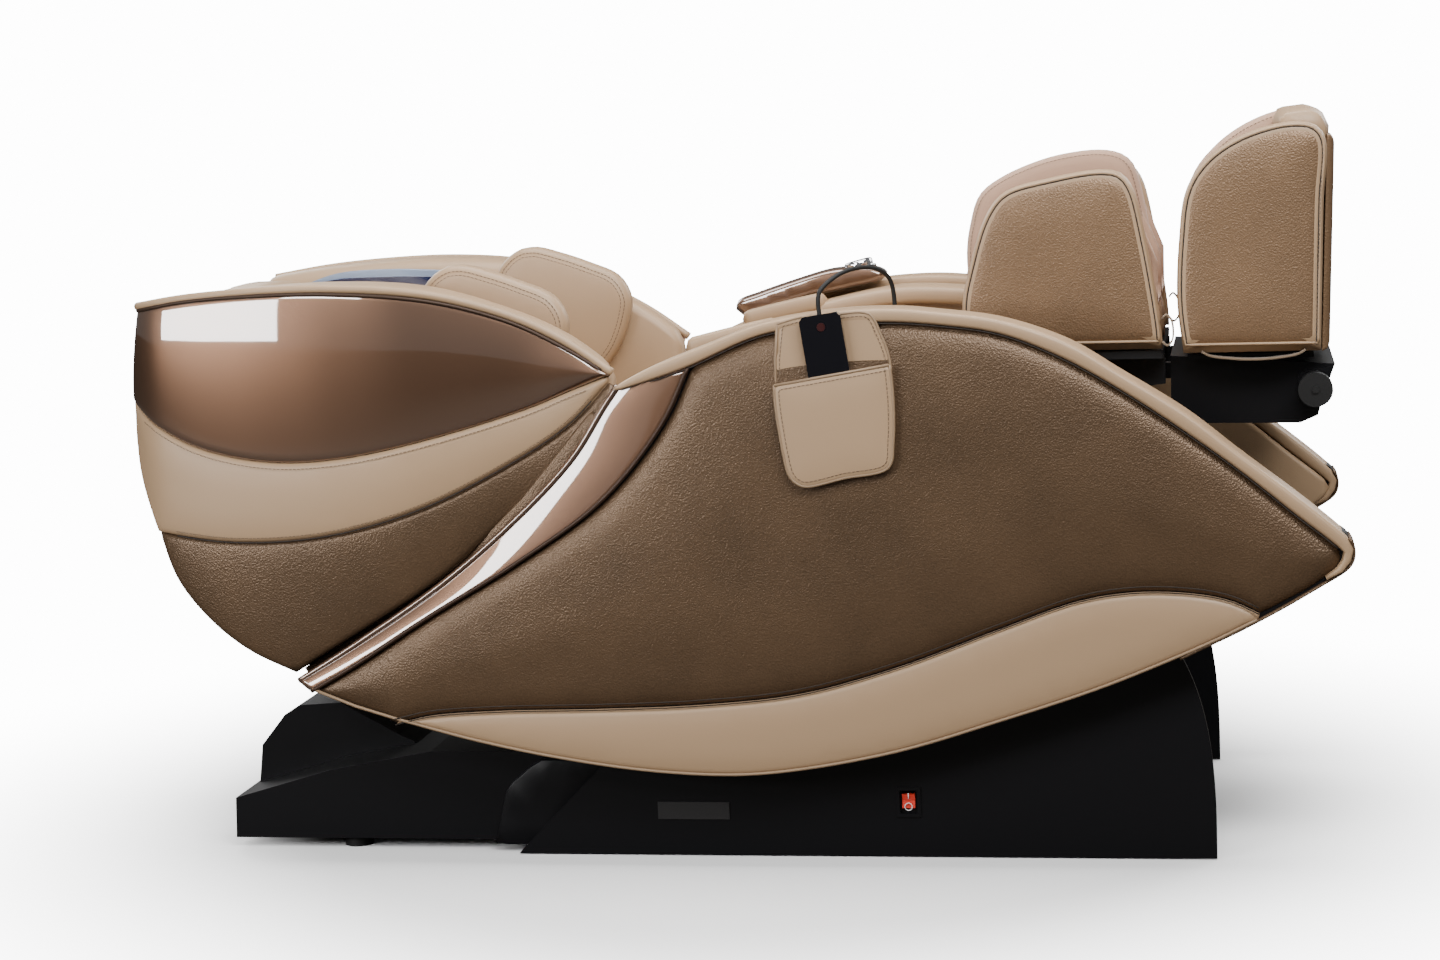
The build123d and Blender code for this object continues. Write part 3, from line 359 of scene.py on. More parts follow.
def tube_shape(points, radius, sides=8, closed=False):
    """A round bead along 3-D points."""
    p = np.array(points, float)
    if closed:
        p = np.vstack([p, p[:1]])
    ahead = np.gradient(p, axis=0)
    ahead /= np.maximum(np.linalg.norm(ahead, axis=1), 1e-9)[:, None]
    normal = np.cross(ahead[0], (0, 1, 0) if abs(ahead[0][1]) < 0.9 else (1, 0, 0))
    rings = []
    for q, t in zip(p, ahead):
        normal = normal - t * (normal @ t)
        normal /= max(np.linalg.norm(normal), 1e-9)
        side = np.cross(t, normal)
        rings.append([q + radius * (math.cos(a) * normal + math.sin(a) * side)
                      for a in np.linspace(0, 2 * math.pi, sides, endpoint=False)])
    return loft_shape(rings)


def on_line(rise, distance, height=0.0, back=False):
    """A side-view point on the seat's or the back's own line from the hinge."""
    c, s = math.cos(rise), math.sin(rise)
    if back:
        return (HINGE[0] - distance * c + height * s, HINGE[1] + distance * s + height * c)
    return (HINGE[0] + distance * c - height * s, HINGE[1] + distance * s + height * c)


def at_y(curve, y):
    """A side-view curve as 3-D points; y is a number or a function of (x, z)."""
    c = np.array(curve, float)
    values = y(c[:, 0], c[:, 1]) if callable(y) else np.full(len(c), float(y))
    return np.stack([c[:, 0], values, c[:, 1]], axis=1)


# ---- materials ------------------------------------------------------------------------------------
MATERIALS = {}


def grain_group():
    """Leather grain: fine pebbles over slow unevenness, as a height and a colour mask."""
    group = bpy.data.node_groups.new("Pebble grain", "ShaderNodeTree")
    for name, value in (("Pebble Scale", 700.0), ("Pebble Depth", 0.6), ("Unevenness Scale", 9.0)):
        group.interface.new_socket(name, in_out="INPUT", socket_type="NodeSocketFloat").default_value = value
    group.interface.new_socket("Height", in_out="OUTPUT", socket_type="NodeSocketFloat")
    group.interface.new_socket("Mottle", in_out="OUTPUT", socket_type="NodeSocketFloat")
    n, link = group.nodes, group.links.new
    gin, gout = n.new("NodeGroupInput"), n.new("NodeGroupOutput")
    coord = n.new("ShaderNodeTexCoord")
    cells = n.new("ShaderNodeTexVoronoi")
    cells.feature = "SMOOTH_F1"
    cells.inputs["Randomness"].default_value = 1.0
    slow = n.new("ShaderNodeTexNoise")
    slow.inputs["Detail"].default_value = 3.0
    fine = n.new("ShaderNodeTexNoise")
    fine.inputs["Detail"].default_value = 2.0
    times = n.new("ShaderNodeMath")
    times.operation = "MULTIPLY"
    mix = n.new("ShaderNodeMath")
    mix.operation = "MULTIPLY_ADD"
    mix.inputs[1].default_value = 0.5
    link(coord.outputs["Object"], cells.inputs["Vector"])
    link(coord.outputs["Object"], slow.inputs["Vector"])
    link(coord.outputs["Object"], fine.inputs["Vector"])
    link(gin.outputs["Pebble Scale"], cells.inputs["Scale"])
    link(gin.outputs["Pebble Scale"], fine.inputs["Scale"])
    link(gin.outputs["Unevenness Scale"], slow.inputs["Scale"])
    link(cells.outputs["Distance"], times.inputs[0])
    link(gin.outputs["Pebble Depth"], times.inputs[1])
    link(slow.outputs["Fac"], mix.inputs[0])
    link(times.outputs[0], mix.inputs[2])
    blend = n.new("ShaderNodeMath")
    blend.operation = "MULTIPLY_ADD"
    blend.inputs[1].default_value = 0.55
    quiet = n.new("ShaderNodeMath")
    quiet.operation = "MULTIPLY"
    quiet.inputs[1].default_value = 0.45
    link(slow.outputs["Fac"], quiet.inputs[0])
    link(fine.outputs["Fac"], blend.inputs[0])
    link(quiet.outputs[0], blend.inputs[2])
    link(mix.outputs[0], gout.inputs["Height"])
    link(blend.outputs[0], gout.inputs["Mottle"])
    return group


def weave_group():
    """A plain knit: crossing waves as a height."""
    group = bpy.data.node_groups.new("Fine weave", "ShaderNodeTree")
    group.interface.new_socket("Thread Scale", in_out="INPUT",
                               socket_type="NodeSocketFloat").default_value = 500.0
    group.interface.new_socket("Height", in_out="OUTPUT", socket_type="NodeSocketFloat")
    n, link = group.nodes, group.links.new
    gin, gout = n.new("NodeGroupInput"), n.new("NodeGroupOutput")
    coord = n.new("ShaderNodeTexCoord")
    waves = []
    for direction in ("X", "Z"):
        wave = n.new("ShaderNodeTexWave")
        wave.bands_direction = direction
        wave.inputs["Distortion"].default_value = 1.2
        link(coord.outputs["Object"], wave.inputs["Vector"])
        link(gin.outputs["Thread Scale"], wave.inputs["Scale"])
        waves.append(wave)
    join = n.new("ShaderNodeMath")
    join.operation = "MAXIMUM"
    link(waves[0].outputs["Fac"], join.inputs[0])
    link(waves[1].outputs["Fac"], join.inputs[1])
    link(join.outputs[0], gout.inputs["Height"])
    return group


def base_material(name, color, rough, metal=0.0, coat=0.0, coat_rough=0.03, specular=0.5, sheen=0.0,
                  coat_ior=1.5):
    """A Principled material with its fixed values on the shader's own sockets."""
    mat = bpy.data.materials.new(name)
    mat.use_nodes = True
    shader = mat.node_tree.nodes["Principled BSDF"]
    shader.inputs["Base Color"].default_value = (*color, 1)
    shader.inputs["Roughness"].default_value = rough
    shader.inputs["Metallic"].default_value = metal
    shader.inputs["Coat Weight"].default_value = coat
    shader.inputs["Coat Roughness"].default_value = coat_rough
    shader.inputs["Coat IOR"].default_value = coat_ior
    shader.inputs["Specular IOR Level"].default_value = specular
    shader.inputs["Sheen Weight"].default_value = sheen
    mat.diffuse_color = (*color, 1)
    return mat, mat.node_tree, shader


def ramp_between(tree, low, high):
    """A colour mix whose factor runs from low to high."""
    mix = tree.nodes.new("ShaderNodeMix")
    mix.data_type = "RGBA"
    mix.inputs["A"].default_value = (*low, 1)
    mix.inputs["B"].default_value = (*high, 1)
    return mix


def add_dent(tree, shader, height, strength, distance):
    """Dents the surface by a height that varies over it."""
    dent = tree.nodes.new("ShaderNodeBump")
    dent.inputs["Strength"].default_value = strength
    dent.inputs["Distance"].default_value = distance
    tree.links.new(height, dent.inputs["Height"])
    tree.links.new(dent.outputs["Normal"], shader.inputs["Normal"])


def leather(name, color, rough, group, pebble=700.0, bump=0.25, spread=0.16, metal=0.0, coat=0.0, sheen=0.0):
    mat, tree, shader = base_material(name, color, rough, metal=metal, coat=coat, coat_rough=0.35,
                                      sheen=sheen)
    grain = tree.nodes.new("ShaderNodeGroup")
    grain.node_tree = group
    grain.inputs["Pebble Scale"].default_value = pebble
    grain.inputs["Pebble Depth"].default_value = 0.8
    mix = ramp_between(tree, [c * (1 - spread) for c in color], [min(1, c * (1 + spread)) for c in color])
    tree.links.new(grain.outputs["Mottle"], mix.inputs["Factor"])
    tree.links.new(mix.outputs["Result"], shader.inputs["Base Color"])
    add_dent(tree, shader, grain.outputs["Height"], bump, 0.0012)
    return mat


def moulded(name, color, rough, scale=450.0, bump=0.08, metal=0.0, coat=0.0, spread=0.05, specular=0.5,
            coat_ior=1.5):
    """Moulded plastic, painted metal or rubber with a faint texture in its roughness and surface."""
    mat, tree, shader = base_material(name, color, rough, metal=metal, coat=coat, specular=specular,
                                      coat_ior=coat_ior)
    coord = tree.nodes.new("ShaderNodeTexCoord")
    noise = tree.nodes.new("ShaderNodeTexNoise")
    noise.inputs["Scale"].default_value = scale
    noise.inputs["Detail"].default_value = 4.0
    tree.links.new(coord.outputs["Object"], noise.inputs["Vector"])
    span = tree.nodes.new("ShaderNodeMapRange")
    span.inputs["To Min"].default_value = max(0.02, rough - spread)
    span.inputs["To Max"].default_value = min(1.0, rough + spread)
    tree.links.new(noise.outputs["Fac"], span.inputs["Value"])
    tree.links.new(span.outputs["Result"], shader.inputs["Roughness"])
    add_dent(tree, shader, noise.outputs["Fac"], bump, 0.0004)
    return mat


def fabric(name, color, group, threads=500.0):
    mat, tree, shader = base_material(name, color, 0.85, sheen=0.25, specular=0.3)
    weave = tree.nodes.new("ShaderNodeGroup")
    weave.node_tree = group
    weave.inputs["Thread Scale"].default_value = threads
    mix = ramp_between(tree, [c * 0.75 for c in color], color)
    tree.links.new(weave.outputs["Height"], mix.inputs["Factor"])
    tree.links.new(mix.outputs["Result"], shader.inputs["Base Color"])
    add_dent(tree, shader, weave.outputs["Height"], 0.4, 0.0006)
    return mat


def make_materials(p):
    grain, weave = grain_group(), weave_group()
    brown, cream, bronze = tuple(p.brown), tuple(p.cream), tuple(p.bronze)
    MATERIALS.update({
        "brown": leather("Brown pearl leather", brown, 0.4, grain, 430.0, 0.7, 0.6, metal=0.45),
        # The leg panels' leather is the same brown painted lighter: painted light, not a paler leather.
        "fawn": leather("Brown pearl leather painted lighter", tuple(c * LIT_BROWN_OVER_BROWN for c in brown), 0.42, grain, 430.0,
                        0.7, 0.5, metal=0.35),
        "cream": leather("Cream leather", cream, 0.45, grain, 900.0, 0.12, 0.04),
        # The seam tubes are painted near black: painted shade in the seams' grooves.
        "seam": moulded("Painted seam shade", (0.02, 0.013, 0.009), 0.8),
        "piping": leather("Piping leather", tuple(c * PIPING_OVER_CREAM for c in cream), 0.5, grain, 900.0,
                          0.1, 0.04),
        "thread": fabric("Sewing thread", (0.13, 0.085, 0.05), weave, 1500.0),
        # The edge tubes' bronze is painted a quarter as bright: painted shade on the rolled edges.
        "edge": moulded("Bronze edge painted in shade", tuple(c * SHADED_BRONZE_OVER_BRONZE for c in bronze), 0.5, 900.0, 0.02,
                        metal=0.5),
        "bronze": moulded("Bronze lacquer", bronze, 0.36, 900.0, 0.02, metal=0.85, coat=1.0, spread=0.05,
                          coat_ior=2.1),
        "plastic": moulded("Black satin plastic", (0.005, 0.005, 0.006), 0.34, 900.0, 0.2, specular=0.22),
        "gloss": moulded("Black gloss plastic", (0.006, 0.006, 0.008), 0.12, 40.0, 0.0, coat=1.0,
                         spread=0.02),
        "steel": moulded("Black painted steel", (0.01, 0.01, 0.011), 0.4, 300.0, 0.1, specular=0.35),
        "bright": moulded("Bright steel", (0.6, 0.6, 0.6), 0.25, 200.0, 0.05, metal=1.0),
        "chrome": moulded("Chrome", (0.78, 0.78, 0.8), 0.08, 60.0, 0.0, metal=1.0, spread=0.02),
        "rubber": moulded("Black rubber", (0.008, 0.008, 0.008), 0.6, 600.0, 0.3, specular=0.3),
        "red": moulded("Red rocker", tuple(p.red), 0.25, 80.0, 0.02, coat=0.5),
        "key": moulded("Dark red key", (0.03, 0.005, 0.005), 0.3, 80.0, 0.02, coat=0.5),
        "white": moulded("White print", (0.75, 0.75, 0.75), 0.5, 300.0, 0.05),
        "badge": moulded("Dark badge metal", (0.05, 0.05, 0.052), 0.3, 300.0, 0.1, metal=0.6),
        "silver": moulded("Silver trim", (0.17, 0.22, 0.31), 0.3, 60.0, 0.0, metal=0.4, coat=0.8,
                          spread=0.02),
        "navy": moulded("Navy lens", (0.004, 0.01, 0.05), 0.12, 60.0, 0.0, coat=1.0, spread=0.02),
        "salmon": fabric("Salmon lining", tuple(p.lining), weave),
        "ribbon": fabric("Webbing", (0.22, 0.155, 0.1), weave, 900.0),
        "roller": moulded("Roller plastic", (0.25, 0.2, 0.16), 0.45),
    })


# ---- where the pieces lie -------------------------------------------------------------------------
PLAN = resample(smooth(BACK_PLAN, 8), 160)


def plan_y(x):
    """The back's half width at a length."""
    return np.interp(np.asarray(x, float), PLAN[::-1, 0], PLAN[::-1, 1])


def back_line_z(x, height=1.0):
    c, s = math.cos(BACK_RISE), math.sin(BACK_RISE)
    return HINGE[1] + (HINGE[0] + height * s - np.asarray(x, float)) / c * s + height * c


def arm_panel_outline():
    """Brown panel of the arm, inside the edge roll, the strip and the crescent."""
    tip = [(882, 456), (879, 443), (868, 428), (837, 407), (796, 385), (769, 371)]
    heel = [(-495, 216), (-560, 238), (-619, 262)]
    return ring_of(smooth(BAND_LOW)[8:], tip, smooth(CRESCENT_TOP)[::-1], heel, smooth(STRIP_FRONT)[::-1])


def arm_core_outline():
    tip = [(884, 452), (876, 436), (837, 408), (796, 387), (766, 366)]
    return ring_of(smooth(BAND_LOW), tip, smooth(ARM_BOTTOM), [(-490, 220), (-642, 280)],
                   smooth(STRIP_REAR)[::-1])


def crescent_outline():
    return ring_of(smooth(CRESCENT_TOP), [(767, 371), (766, 365)], smooth(ARM_BOTTOM))


def band_outline():
    return ring_of(smooth(WING_LOW), smooth([(-909, 692), (-906, 600), (-868, 500)]),
                   smooth(BAND_BOTTOM)[::-1])


def flank_outline():
    """Brown flank under the pale band, with a sliver that runs up behind the arm's strip."""
    heel = smooth([(-867, 498), (-839, 427), (-787, 366), (-727, 320), (-655, 286)])
    rear = smooth([(-655, 286), (-428, 425), (-330, 509), (-292, 535), (-222, 592), (-170, 650), (-158, 696)])
    return ring_of(smooth(BAND_BOTTOM), heel, rear)


def calf_outline():
    return ring_of(smooth(CALF_FACE))


def foot_outline():
    return ring_of(smooth(FOOT_FACE))


def pocket_outline():
    return ring_of(smooth([(97, 796), (133, 805), (182, 808), (230, 807), (244, 780), (253, 757), (259, 726),
                           (262, 672), (260, 625), (253, 590), (190, 576), (127, 565), (110, 580), (104, 604),
                           (97, 650), (93, 689), (93, 745)], 8), step=7)


def pocket_front():
    """The front leaf: the pocket's outline below its mouth."""
    ring = pocket_outline()
    return np.array([q for q in ring if q[1] < 715 + (q[0] - 95) * 0.134])


# ---- pieces ---------------------------------------------------------------------------------------
def choose_shader(tree, factor, first, second):
    """One shader or the other, by a factor from 0 to 1."""
    choice = tree.nodes.new("ShaderNodeMixShader")
    for value, socket in zip((factor, first, second), choice.inputs):
        tree.links.new(value, socket)
    return choice.outputs["Shader"]


def make_stage():
    world = bpy.context.scene.world or bpy.data.worlds.new("Studio")
    bpy.context.scene.world = world
    world.use_nodes = True
    tree = world.node_tree
    sky = tree.nodes["Background"]
    sky.inputs["Color"].default_value = (1, 1, 1, 1)
    sky.inputs["Strength"].default_value = SKY_LIGHT
    seen = tree.nodes.new("ShaderNodeBackground")
    seen.inputs["Color"].default_value = (1, 1, 1, 1)
    seen.inputs["Strength"].default_value = BACKGROUND
    path = tree.nodes.new("ShaderNodeLightPath")
    light = choose_shader(tree, path.outputs["Is Camera Ray"], sky.outputs["Background"],
                          seen.outputs["Background"])
    tree.links.new(light, tree.nodes["World Output"].inputs["Surface"])
    corners = [(a * FLOOR_HALF, b * FLOOR_HALF, 0) for a, b in ((-1, -1), (1, -1), (1, 1), (-1, 1))]
    mesh = bpy.data.meshes.new("studio_floor")
    mesh.from_pydata(corners, [], [(0, 1, 2, 3)])
    floor = bpy.data.objects.new("studio_floor", mesh)
    bpy.context.scene.collection.objects.link(floor)
    mat, tree, shader = base_material("Pale floor", (0.93, 0.93, 0.93), 0.75, specular=0.2)
    noise = tree.nodes.new("ShaderNodeTexNoise")
    noise.inputs["Scale"].default_value = 3.0
    mix = ramp_between(tree, (0.92, 0.92, 0.92), (0.95, 0.95, 0.95))
    coord = tree.nodes.new("ShaderNodeTexCoord")
    tree.links.new(coord.outputs["Object"], noise.inputs["Vector"])
    tree.links.new(noise.outputs["Fac"], mix.inputs["Factor"])
    tree.links.new(mix.outputs["Result"], shader.inputs["Base Color"])
    fade_floor(tree, shader, coord)
    mesh.materials.append(mat)
    for row in SOFTBOXES:
        softbox(*row)


def fade_floor(tree, shader, coord):
    """Away from the chair the floor runs into the pale background, and light that bounces finds it dark."""
    reach = tree.nodes.new("ShaderNodeVectorMath")
    reach.operation = "LENGTH"
    tree.links.new(coord.outputs["Object"], reach.inputs[0])
    span = tree.nodes.new("ShaderNodeMapRange")
    span.interpolation_type = "SMOOTHSTEP"
    span.inputs["From Min"].default_value = FADE_START
    span.inputs["From Max"].default_value = FADE_END
    tree.links.new(reach.outputs["Value"], span.inputs["Value"])
    path = tree.nodes.new("ShaderNodeLightPath")
    glow = tree.nodes.new("ShaderNodeEmission")
    glow.inputs["Strength"].default_value = BACKGROUND
    dim = tree.nodes.new("ShaderNodeBsdfDiffuse")
    dim.inputs["Color"].default_value = (0.1, 0.09, 0.08, 1)
    faded = choose_shader(tree, span.outputs["Result"], shader.outputs["BSDF"], glow.outputs["Emission"])
    seen = choose_shader(tree, path.outputs["Is Camera Ray"], dim.outputs["BSDF"], faded)
    tree.links.new(seen, tree.nodes["Material Output"].inputs["Surface"])


def softbox(name, place, aim, width, height, power):
    light = bpy.data.lights.new(name, "AREA")
    light.shape = "RECTANGLE"
    light.size, light.size_y, light.energy = width, height, power
    lamp = bpy.data.objects.new(name, light)
    lamp.location = place
    lamp.rotation_euler = (Vector(aim) - Vector(place)).to_track_quat("-Z", "Y").to_euler()
    bpy.context.scene.collection.objects.link(lamp)


def make_camera():
    yaw, pitch, roll = (math.radians(angle) for angle in CAMERA_TURN)
    ahead = Vector((-math.sin(yaw) * math.cos(pitch), math.cos(yaw) * math.cos(pitch), -math.sin(pitch)))
    level = Vector((math.cos(yaw), math.sin(yaw), 0))
    up = level.cross(ahead)
    right = math.cos(roll) * level + math.sin(roll) * up
    top = -math.sin(roll) * level + math.cos(roll) * up
    data = bpy.data.cameras.new("camera")
    data.lens, data.sensor_width = CAMERA_LENS, CAMERA_SENSOR
    camera = bpy.data.objects.new("camera", data)
    turn = Matrix((right, top, -ahead)).transposed().to_4x4()
    camera.matrix_world = Matrix.Translation(CAMERA_PLACE) @ turn
    bpy.context.scene.collection.objects.link(camera)
    bpy.context.scene.camera = camera


def make_cord():
    """The handset's lead: out of the gland, over the arm's edge and down into the handset."""
    route = [(0.256, -0.316, 0.808), (0.256, -0.316, 0.834), (0.248, -0.328, 0.860), (0.224, -0.352, 0.872),
             (0.192, -0.380, 0.868), (0.166, -0.402, 0.850), (0.1559, -0.411, 0.83364),
             (0.15938, -0.411, 0.80888)]
    curve = bpy.data.curves.new("handset_cord", "CURVE")
    curve.dimensions = "3D"
    line = curve.splines.new("NURBS")
    line.points.add(len(route) - 1)
    for point, place in zip(line.points, route):
        point.co = (*place, 1.0)
    line.order_u = 3
    line.use_endpoint_u = True
    curve.bevel_depth = CORD_RADIUS
    curve.bevel_resolution = 4
    curve.resolution_u = 16
    cord = bpy.data.objects.new("handset_cord", curve)
    bpy.context.scene.collection.objects.link(cord)
    curve.materials.append(MATERIALS["rubber"])
    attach(cord, "seat")
    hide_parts("remote_cord")


def make_arm_covers(p):
    """Brown panel, pale crescent, edge roll and inner liner of both arms."""
    swell = p.arm_swell / MM
    panel, crescent = arm_panel_outline(), crescent_outline()
    shape = panel_shape(panel, lambda x, z: 399.5 + 0 * x, 384, 38, 12, 15, swell=swell, reach=150)
    new_pair("arm_side_panels", shape, "brown", "seat", "brown_leather", ["side_panels"])
    shape = panel_shape(crescent, lambda x, z: 399.0 + 0 * x, 388, 10, 8, 15, swell=4, reach=40)
    new_pair("arm_crescents", shape, "cream", "seat", "cream_leather", ["crescent_trims"])
    shape = panel_shape(arm_core_outline(), lambda x, z: -328.0 + 0 * x, -335, 8, 5, 24)
    new_pair("arm_inner_liners", shape, "cream", "seat", "cream_leather", ["arm_liners"])
    top, low = resample(smooth(ARM_TOP), 120), resample(smooth(BAND_LOW), 120)
    tip_top = [(898, 464), (895, 447), (884, 431), (862, 418)]
    tip_low = [(883, 460), (881, 449), (873, 438), (857, 428)]
    top, low = np.vstack([top, tip_top]), np.vstack([low, tip_low])
    shape = band_sweep(top, low, -404.5, -331.0)
    new_pair("arm_edge_rolls", shape, "cream", "seat", "cream_leather", ["edge_rolls"])
    store = ([], [])
    skirt = resample(smooth([(891, 479), (897.5, 468), (898.5, 456), (895, 443.5), (886, 433.5), (853, 413),
                             (797, 380), (735, 347), (690, 325.5), (656, 309)], 8), 60)
    add_shape(store, *ribbon_shape(skirt, -400.5, -333.0, 3.4))
    new_piece("arm_tip_skirts", *mirrored(store), "brown", "seat", "brown_leather")


def band_sweep(top, low, y_out, y_in, points=28):
    """A rounded band between two side curves, from y_out to y_in."""
    rings = []
    count = len(top)
    for i, (a, b) in enumerate(zip(top, low)):
        mid, half = (a + b) / 2, (a - b) / 2
        grow = 0.55 + 0.45 * float(round_edge(np.array(min(i, count - 1 - i) * 6.0), 18))
        ring = []
        for t in np.linspace(0, 2 * math.pi, points, endpoint=False):
            c, s = math.cos(t), math.sin(t)
            y = (y_out + y_in) / 2 + (y_in - y_out) / 2 * math.copysign(abs(c) ** 0.28, c)
            h = grow * math.copysign(abs(s) ** 0.5, s)
            ring.append((mid[0] + half[0] * h, y, mid[1] + half[1] * h))
        rings.append(ring)
    return loft_shape(rings)


def make_strips():
    """The lacquered strips on the arms' rear edges, with a rolled lip."""
    rear, front = resample(smooth(STRIP_REAR), 90), resample(smooth(STRIP_FRONT), 90)
    shape = ruled_panel(rear, front, lambda x: 401.0 + 0 * x, 2.0, 16, 10.0, 3.0, 4.0, 13.0)
    new_pair("arm_gloss_strips", shape, "bronze", "seat", "bronze_gloss", ["gloss_strips"])
    lip = rear * 0.93 + front * 0.07
    edge = front * 0.97 + rear * 0.03
    # The tube along each strip's front edge is bronze painted dark: painted shade where the edge dips into
    # its seam.
    seam_tubes("arm_strip_edges", both(at_y(edge, -400.0)), 3.0, "seat", "bronze_gloss", "edge")
    seam_tubes("arm_strip_lips", both(at_y(lip, -391.0)), 4.6, "seat", "bronze_gloss", "bronze")
    store = ([], [])
    roll = resample(smooth([(-62, 752), (-20, 762), (30, 773), (80, 783)]), 24)
    section = [(-259 + 13 * math.copysign(abs(math.cos(t)) ** 0.6, math.cos(t)),
                14 * math.copysign(abs(math.sin(t)) ** 0.7, math.sin(t)))
               for t in np.linspace(0, 2 * math.pi, 28, endpoint=False)]
    add_shape(store, *side_sweep(roll, section, ends=14))
    pad = new_piece("arm_inner_rolls", *mirrored(store), "cream", "seat", "cream_leather")


def ruled_panel(first, second, base, crown, columns, thick, lip, dip, lean=0.0):
    """A smooth panel between two side curves.

    crown bows it, lip and dip round its two edges, and lean sinks the first edge.
    """
    shares = 0.5 - 0.5 * np.cos(np.linspace(0, math.pi, columns))
    front = np.zeros((len(first), columns, 3))
    for j, t in enumerate(shares):
        line = first * (1 - t) + second * t
        width = np.linalg.norm(second - first, axis=1)
        y = base(line[:, 0]) + crown * math.sin(math.pi * t) ** 0.8
        y = y - np.minimum(lean, width * 0.3) * (1 - t)
        y = y - lip * (1 - round_edge(t * width, 9.0)) - dip * (1 - round_edge((1 - t) * width, 5.0))
        front[:, j] = np.stack([line[:, 0], -y, line[:, 1]], axis=1)
    back = front.copy()
    back[:, :, 1] = -(base(front[:, :, 0]) - thick)
    back[:, :, 1] = np.maximum(back[:, :, 1], front[:, :, 1] + 1.0)
    return grid_shape(front, back)


def superellipse(y_half, low, high, power=4.0, count=64, crown=0.0, lanes=(), depth=0.0, lane_width=7.0):
    """A cushion's cross-section: (y, height) points, crowned on top, with sewn lanes."""
    out = []
    for t in np.linspace(0, 2 * math.pi, count, endpoint=False):
        c, s = math.cos(t), math.sin(t)
        y = y_half * math.copysign(abs(c) ** (2 / power), c)
        h = (low + high) / 2 + (high - low) / 2 * math.copysign(abs(s) ** (2 / power), s)
        top = max(0.0, s) ** 0.5
        h += crown * (1 - (y / y_half) ** 2) * top
        h -= sum(depth * math.exp(-((y - lane) / lane_width) ** 2) for lane in lanes) * top
        out.append((y, h))
    return out


def padded_run(stations, rise, back, count=72, crown=10.0, lanes=(), channels=(), depth=7.0, centre=0.0):
    """A cushion lofted along the seat's or the back's line: (distance, half width, low, high) stations."""
    stations = np.array(stations, float)
    total = stations[-1, 0] - stations[0, 0]
    rings = []
    for share in 0.5 - 0.5 * np.cos(np.linspace(0, math.pi, max(40, int(total / 7)))):
        d = stations[0, 0] + total * share
        half, low, high = (np.interp(d, stations[:, 0], stations[:, k]) for k in (1, 2, 3))
        high -= sum(depth * math.exp(-((d - at) / 7.0) ** 2) for at in channels)
        near = min(d - stations[0, 0], stations[-1, 0] - d)
        grow = 0.30 + 0.70 * float(round_edge(np.array(near), 26.0))
        mid = (low + high) / 2
        low, high = mid + (low - mid) * grow, mid + (high - mid) * grow
        half *= 0.965 + 0.035 * grow
        ring = []
        for y, h in superellipse(half, low, high, 5.0, count, crown * grow, lanes, depth * grow):
            q = on_line(rise, d, h, back)
            ring.append((q[0], y + centre, q[1]))
        rings.append(ring)
    return loft_shape(rings)


def make_seat(p):
    """Seat cushion, arm flaps and forearm pads."""
    crown = p.crown / MM
    shape = padded_run([(56, 238, -44, 50), (400, 238, -44, 52), (442, 236, -44, 34)], SEAT_RISE, False,
                       crown=crown, lanes=(-120, 120), channels=(165, 280, 385), depth=p.channel / MM)
    cushion = new_piece("seat_pad", *shape, "cream", "seat", "cream_leather", ["seat_cushion"])
    for name, node, rows, half in (
            ("arm_flap_pads", "arm_flaps", [(50, 761), (197.5, 787), (345, 781)], 16.0),
            ("forearm_rests", "forearm_pads", [(50, 662), (197.5, 688), (345, 682)], 19.0)):
        path = resample(smooth(rows), 48)
        section = [(-288 + 41.5 * math.copysign(abs(math.cos(t)) ** 0.45, math.cos(t)),
                    half * math.copysign(abs(math.sin(t)) ** 0.6, math.sin(t)))
                   for t in np.linspace(0, 2 * math.pi, 36, endpoint=False)]
        store = ([], [])
        add_shape(store, *side_sweep(path, section, ends=20))
        pad = new_piece(name, *mirrored(store), "cream", "seat", "cream_leather", [node])


def make_back_pads(p):
    """Back cushion, head pillow and shoulder pads."""
    crown = p.crown / MM
    shape = padded_run([(-44, 258, -28, 28), (-20, 260, -44, 44), (10, 260, -48, 49), (62, 261, -46, 50),
                        (100, 261, 9.5, 50), (700, 261, 9.5, 50), (868, 250, 9.5, 46)], BACK_RISE, True,
                       count=96, crown=crown, lanes=(-150, 150), channels=(150, 260, 370, 480, 590),
                       depth=p.channel / MM)
    cushion = new_piece("back_pad", *shape, "cream", "backrest", "cream_leather", ["back_cushion"])
    shape = padded_run([(642, 146, 50, 74), (664, 150, 50, 100), (730, 150, 50, 106), (800, 150, 50, 112),
                        (850, 148, 50, 96), (869, 146, 50, 80)], BACK_RISE, True, crown=6,
                       lanes=(-75, 75), channels=(756,), depth=4.5)
    pillow = new_piece("head_pad", *shape, "cream", "backrest", "cream_leather", ["head_pillow"])
    outline = ring_of(smooth(SHOULDER))
    shape = slab_shape(outline, -259, -219, edge=20, spacing=13, belly=4)
    pads = new_pair("shoulder_bolsters", shape, "cream", "backrest", "cream_leather",
                     ["shoulder_pads"])


def rounded_loop(y0, y1, z0, z1, radii, each=7):
    """A rectangle's loop with its own radius at each corner, starting at (y0, z0)."""
    out = []
    places = (((y0, z0), 180), ((y1, z0), 270), ((y1, z1), 0), ((y0, z1), 90))
    corners = [(place, start, radius) for (place, start), radius in zip(places, radii)]
    for (y, z), start, r in corners:
        cy = y + (r if y == y0 else -r)
        cz = z + (r if z == z0 else -r)
        for k in range(each):
            a = math.radians(start + 90 * k / (each - 1))
            out.append((cy + r * math.cos(a), cz + r * math.sin(a)))
    return out


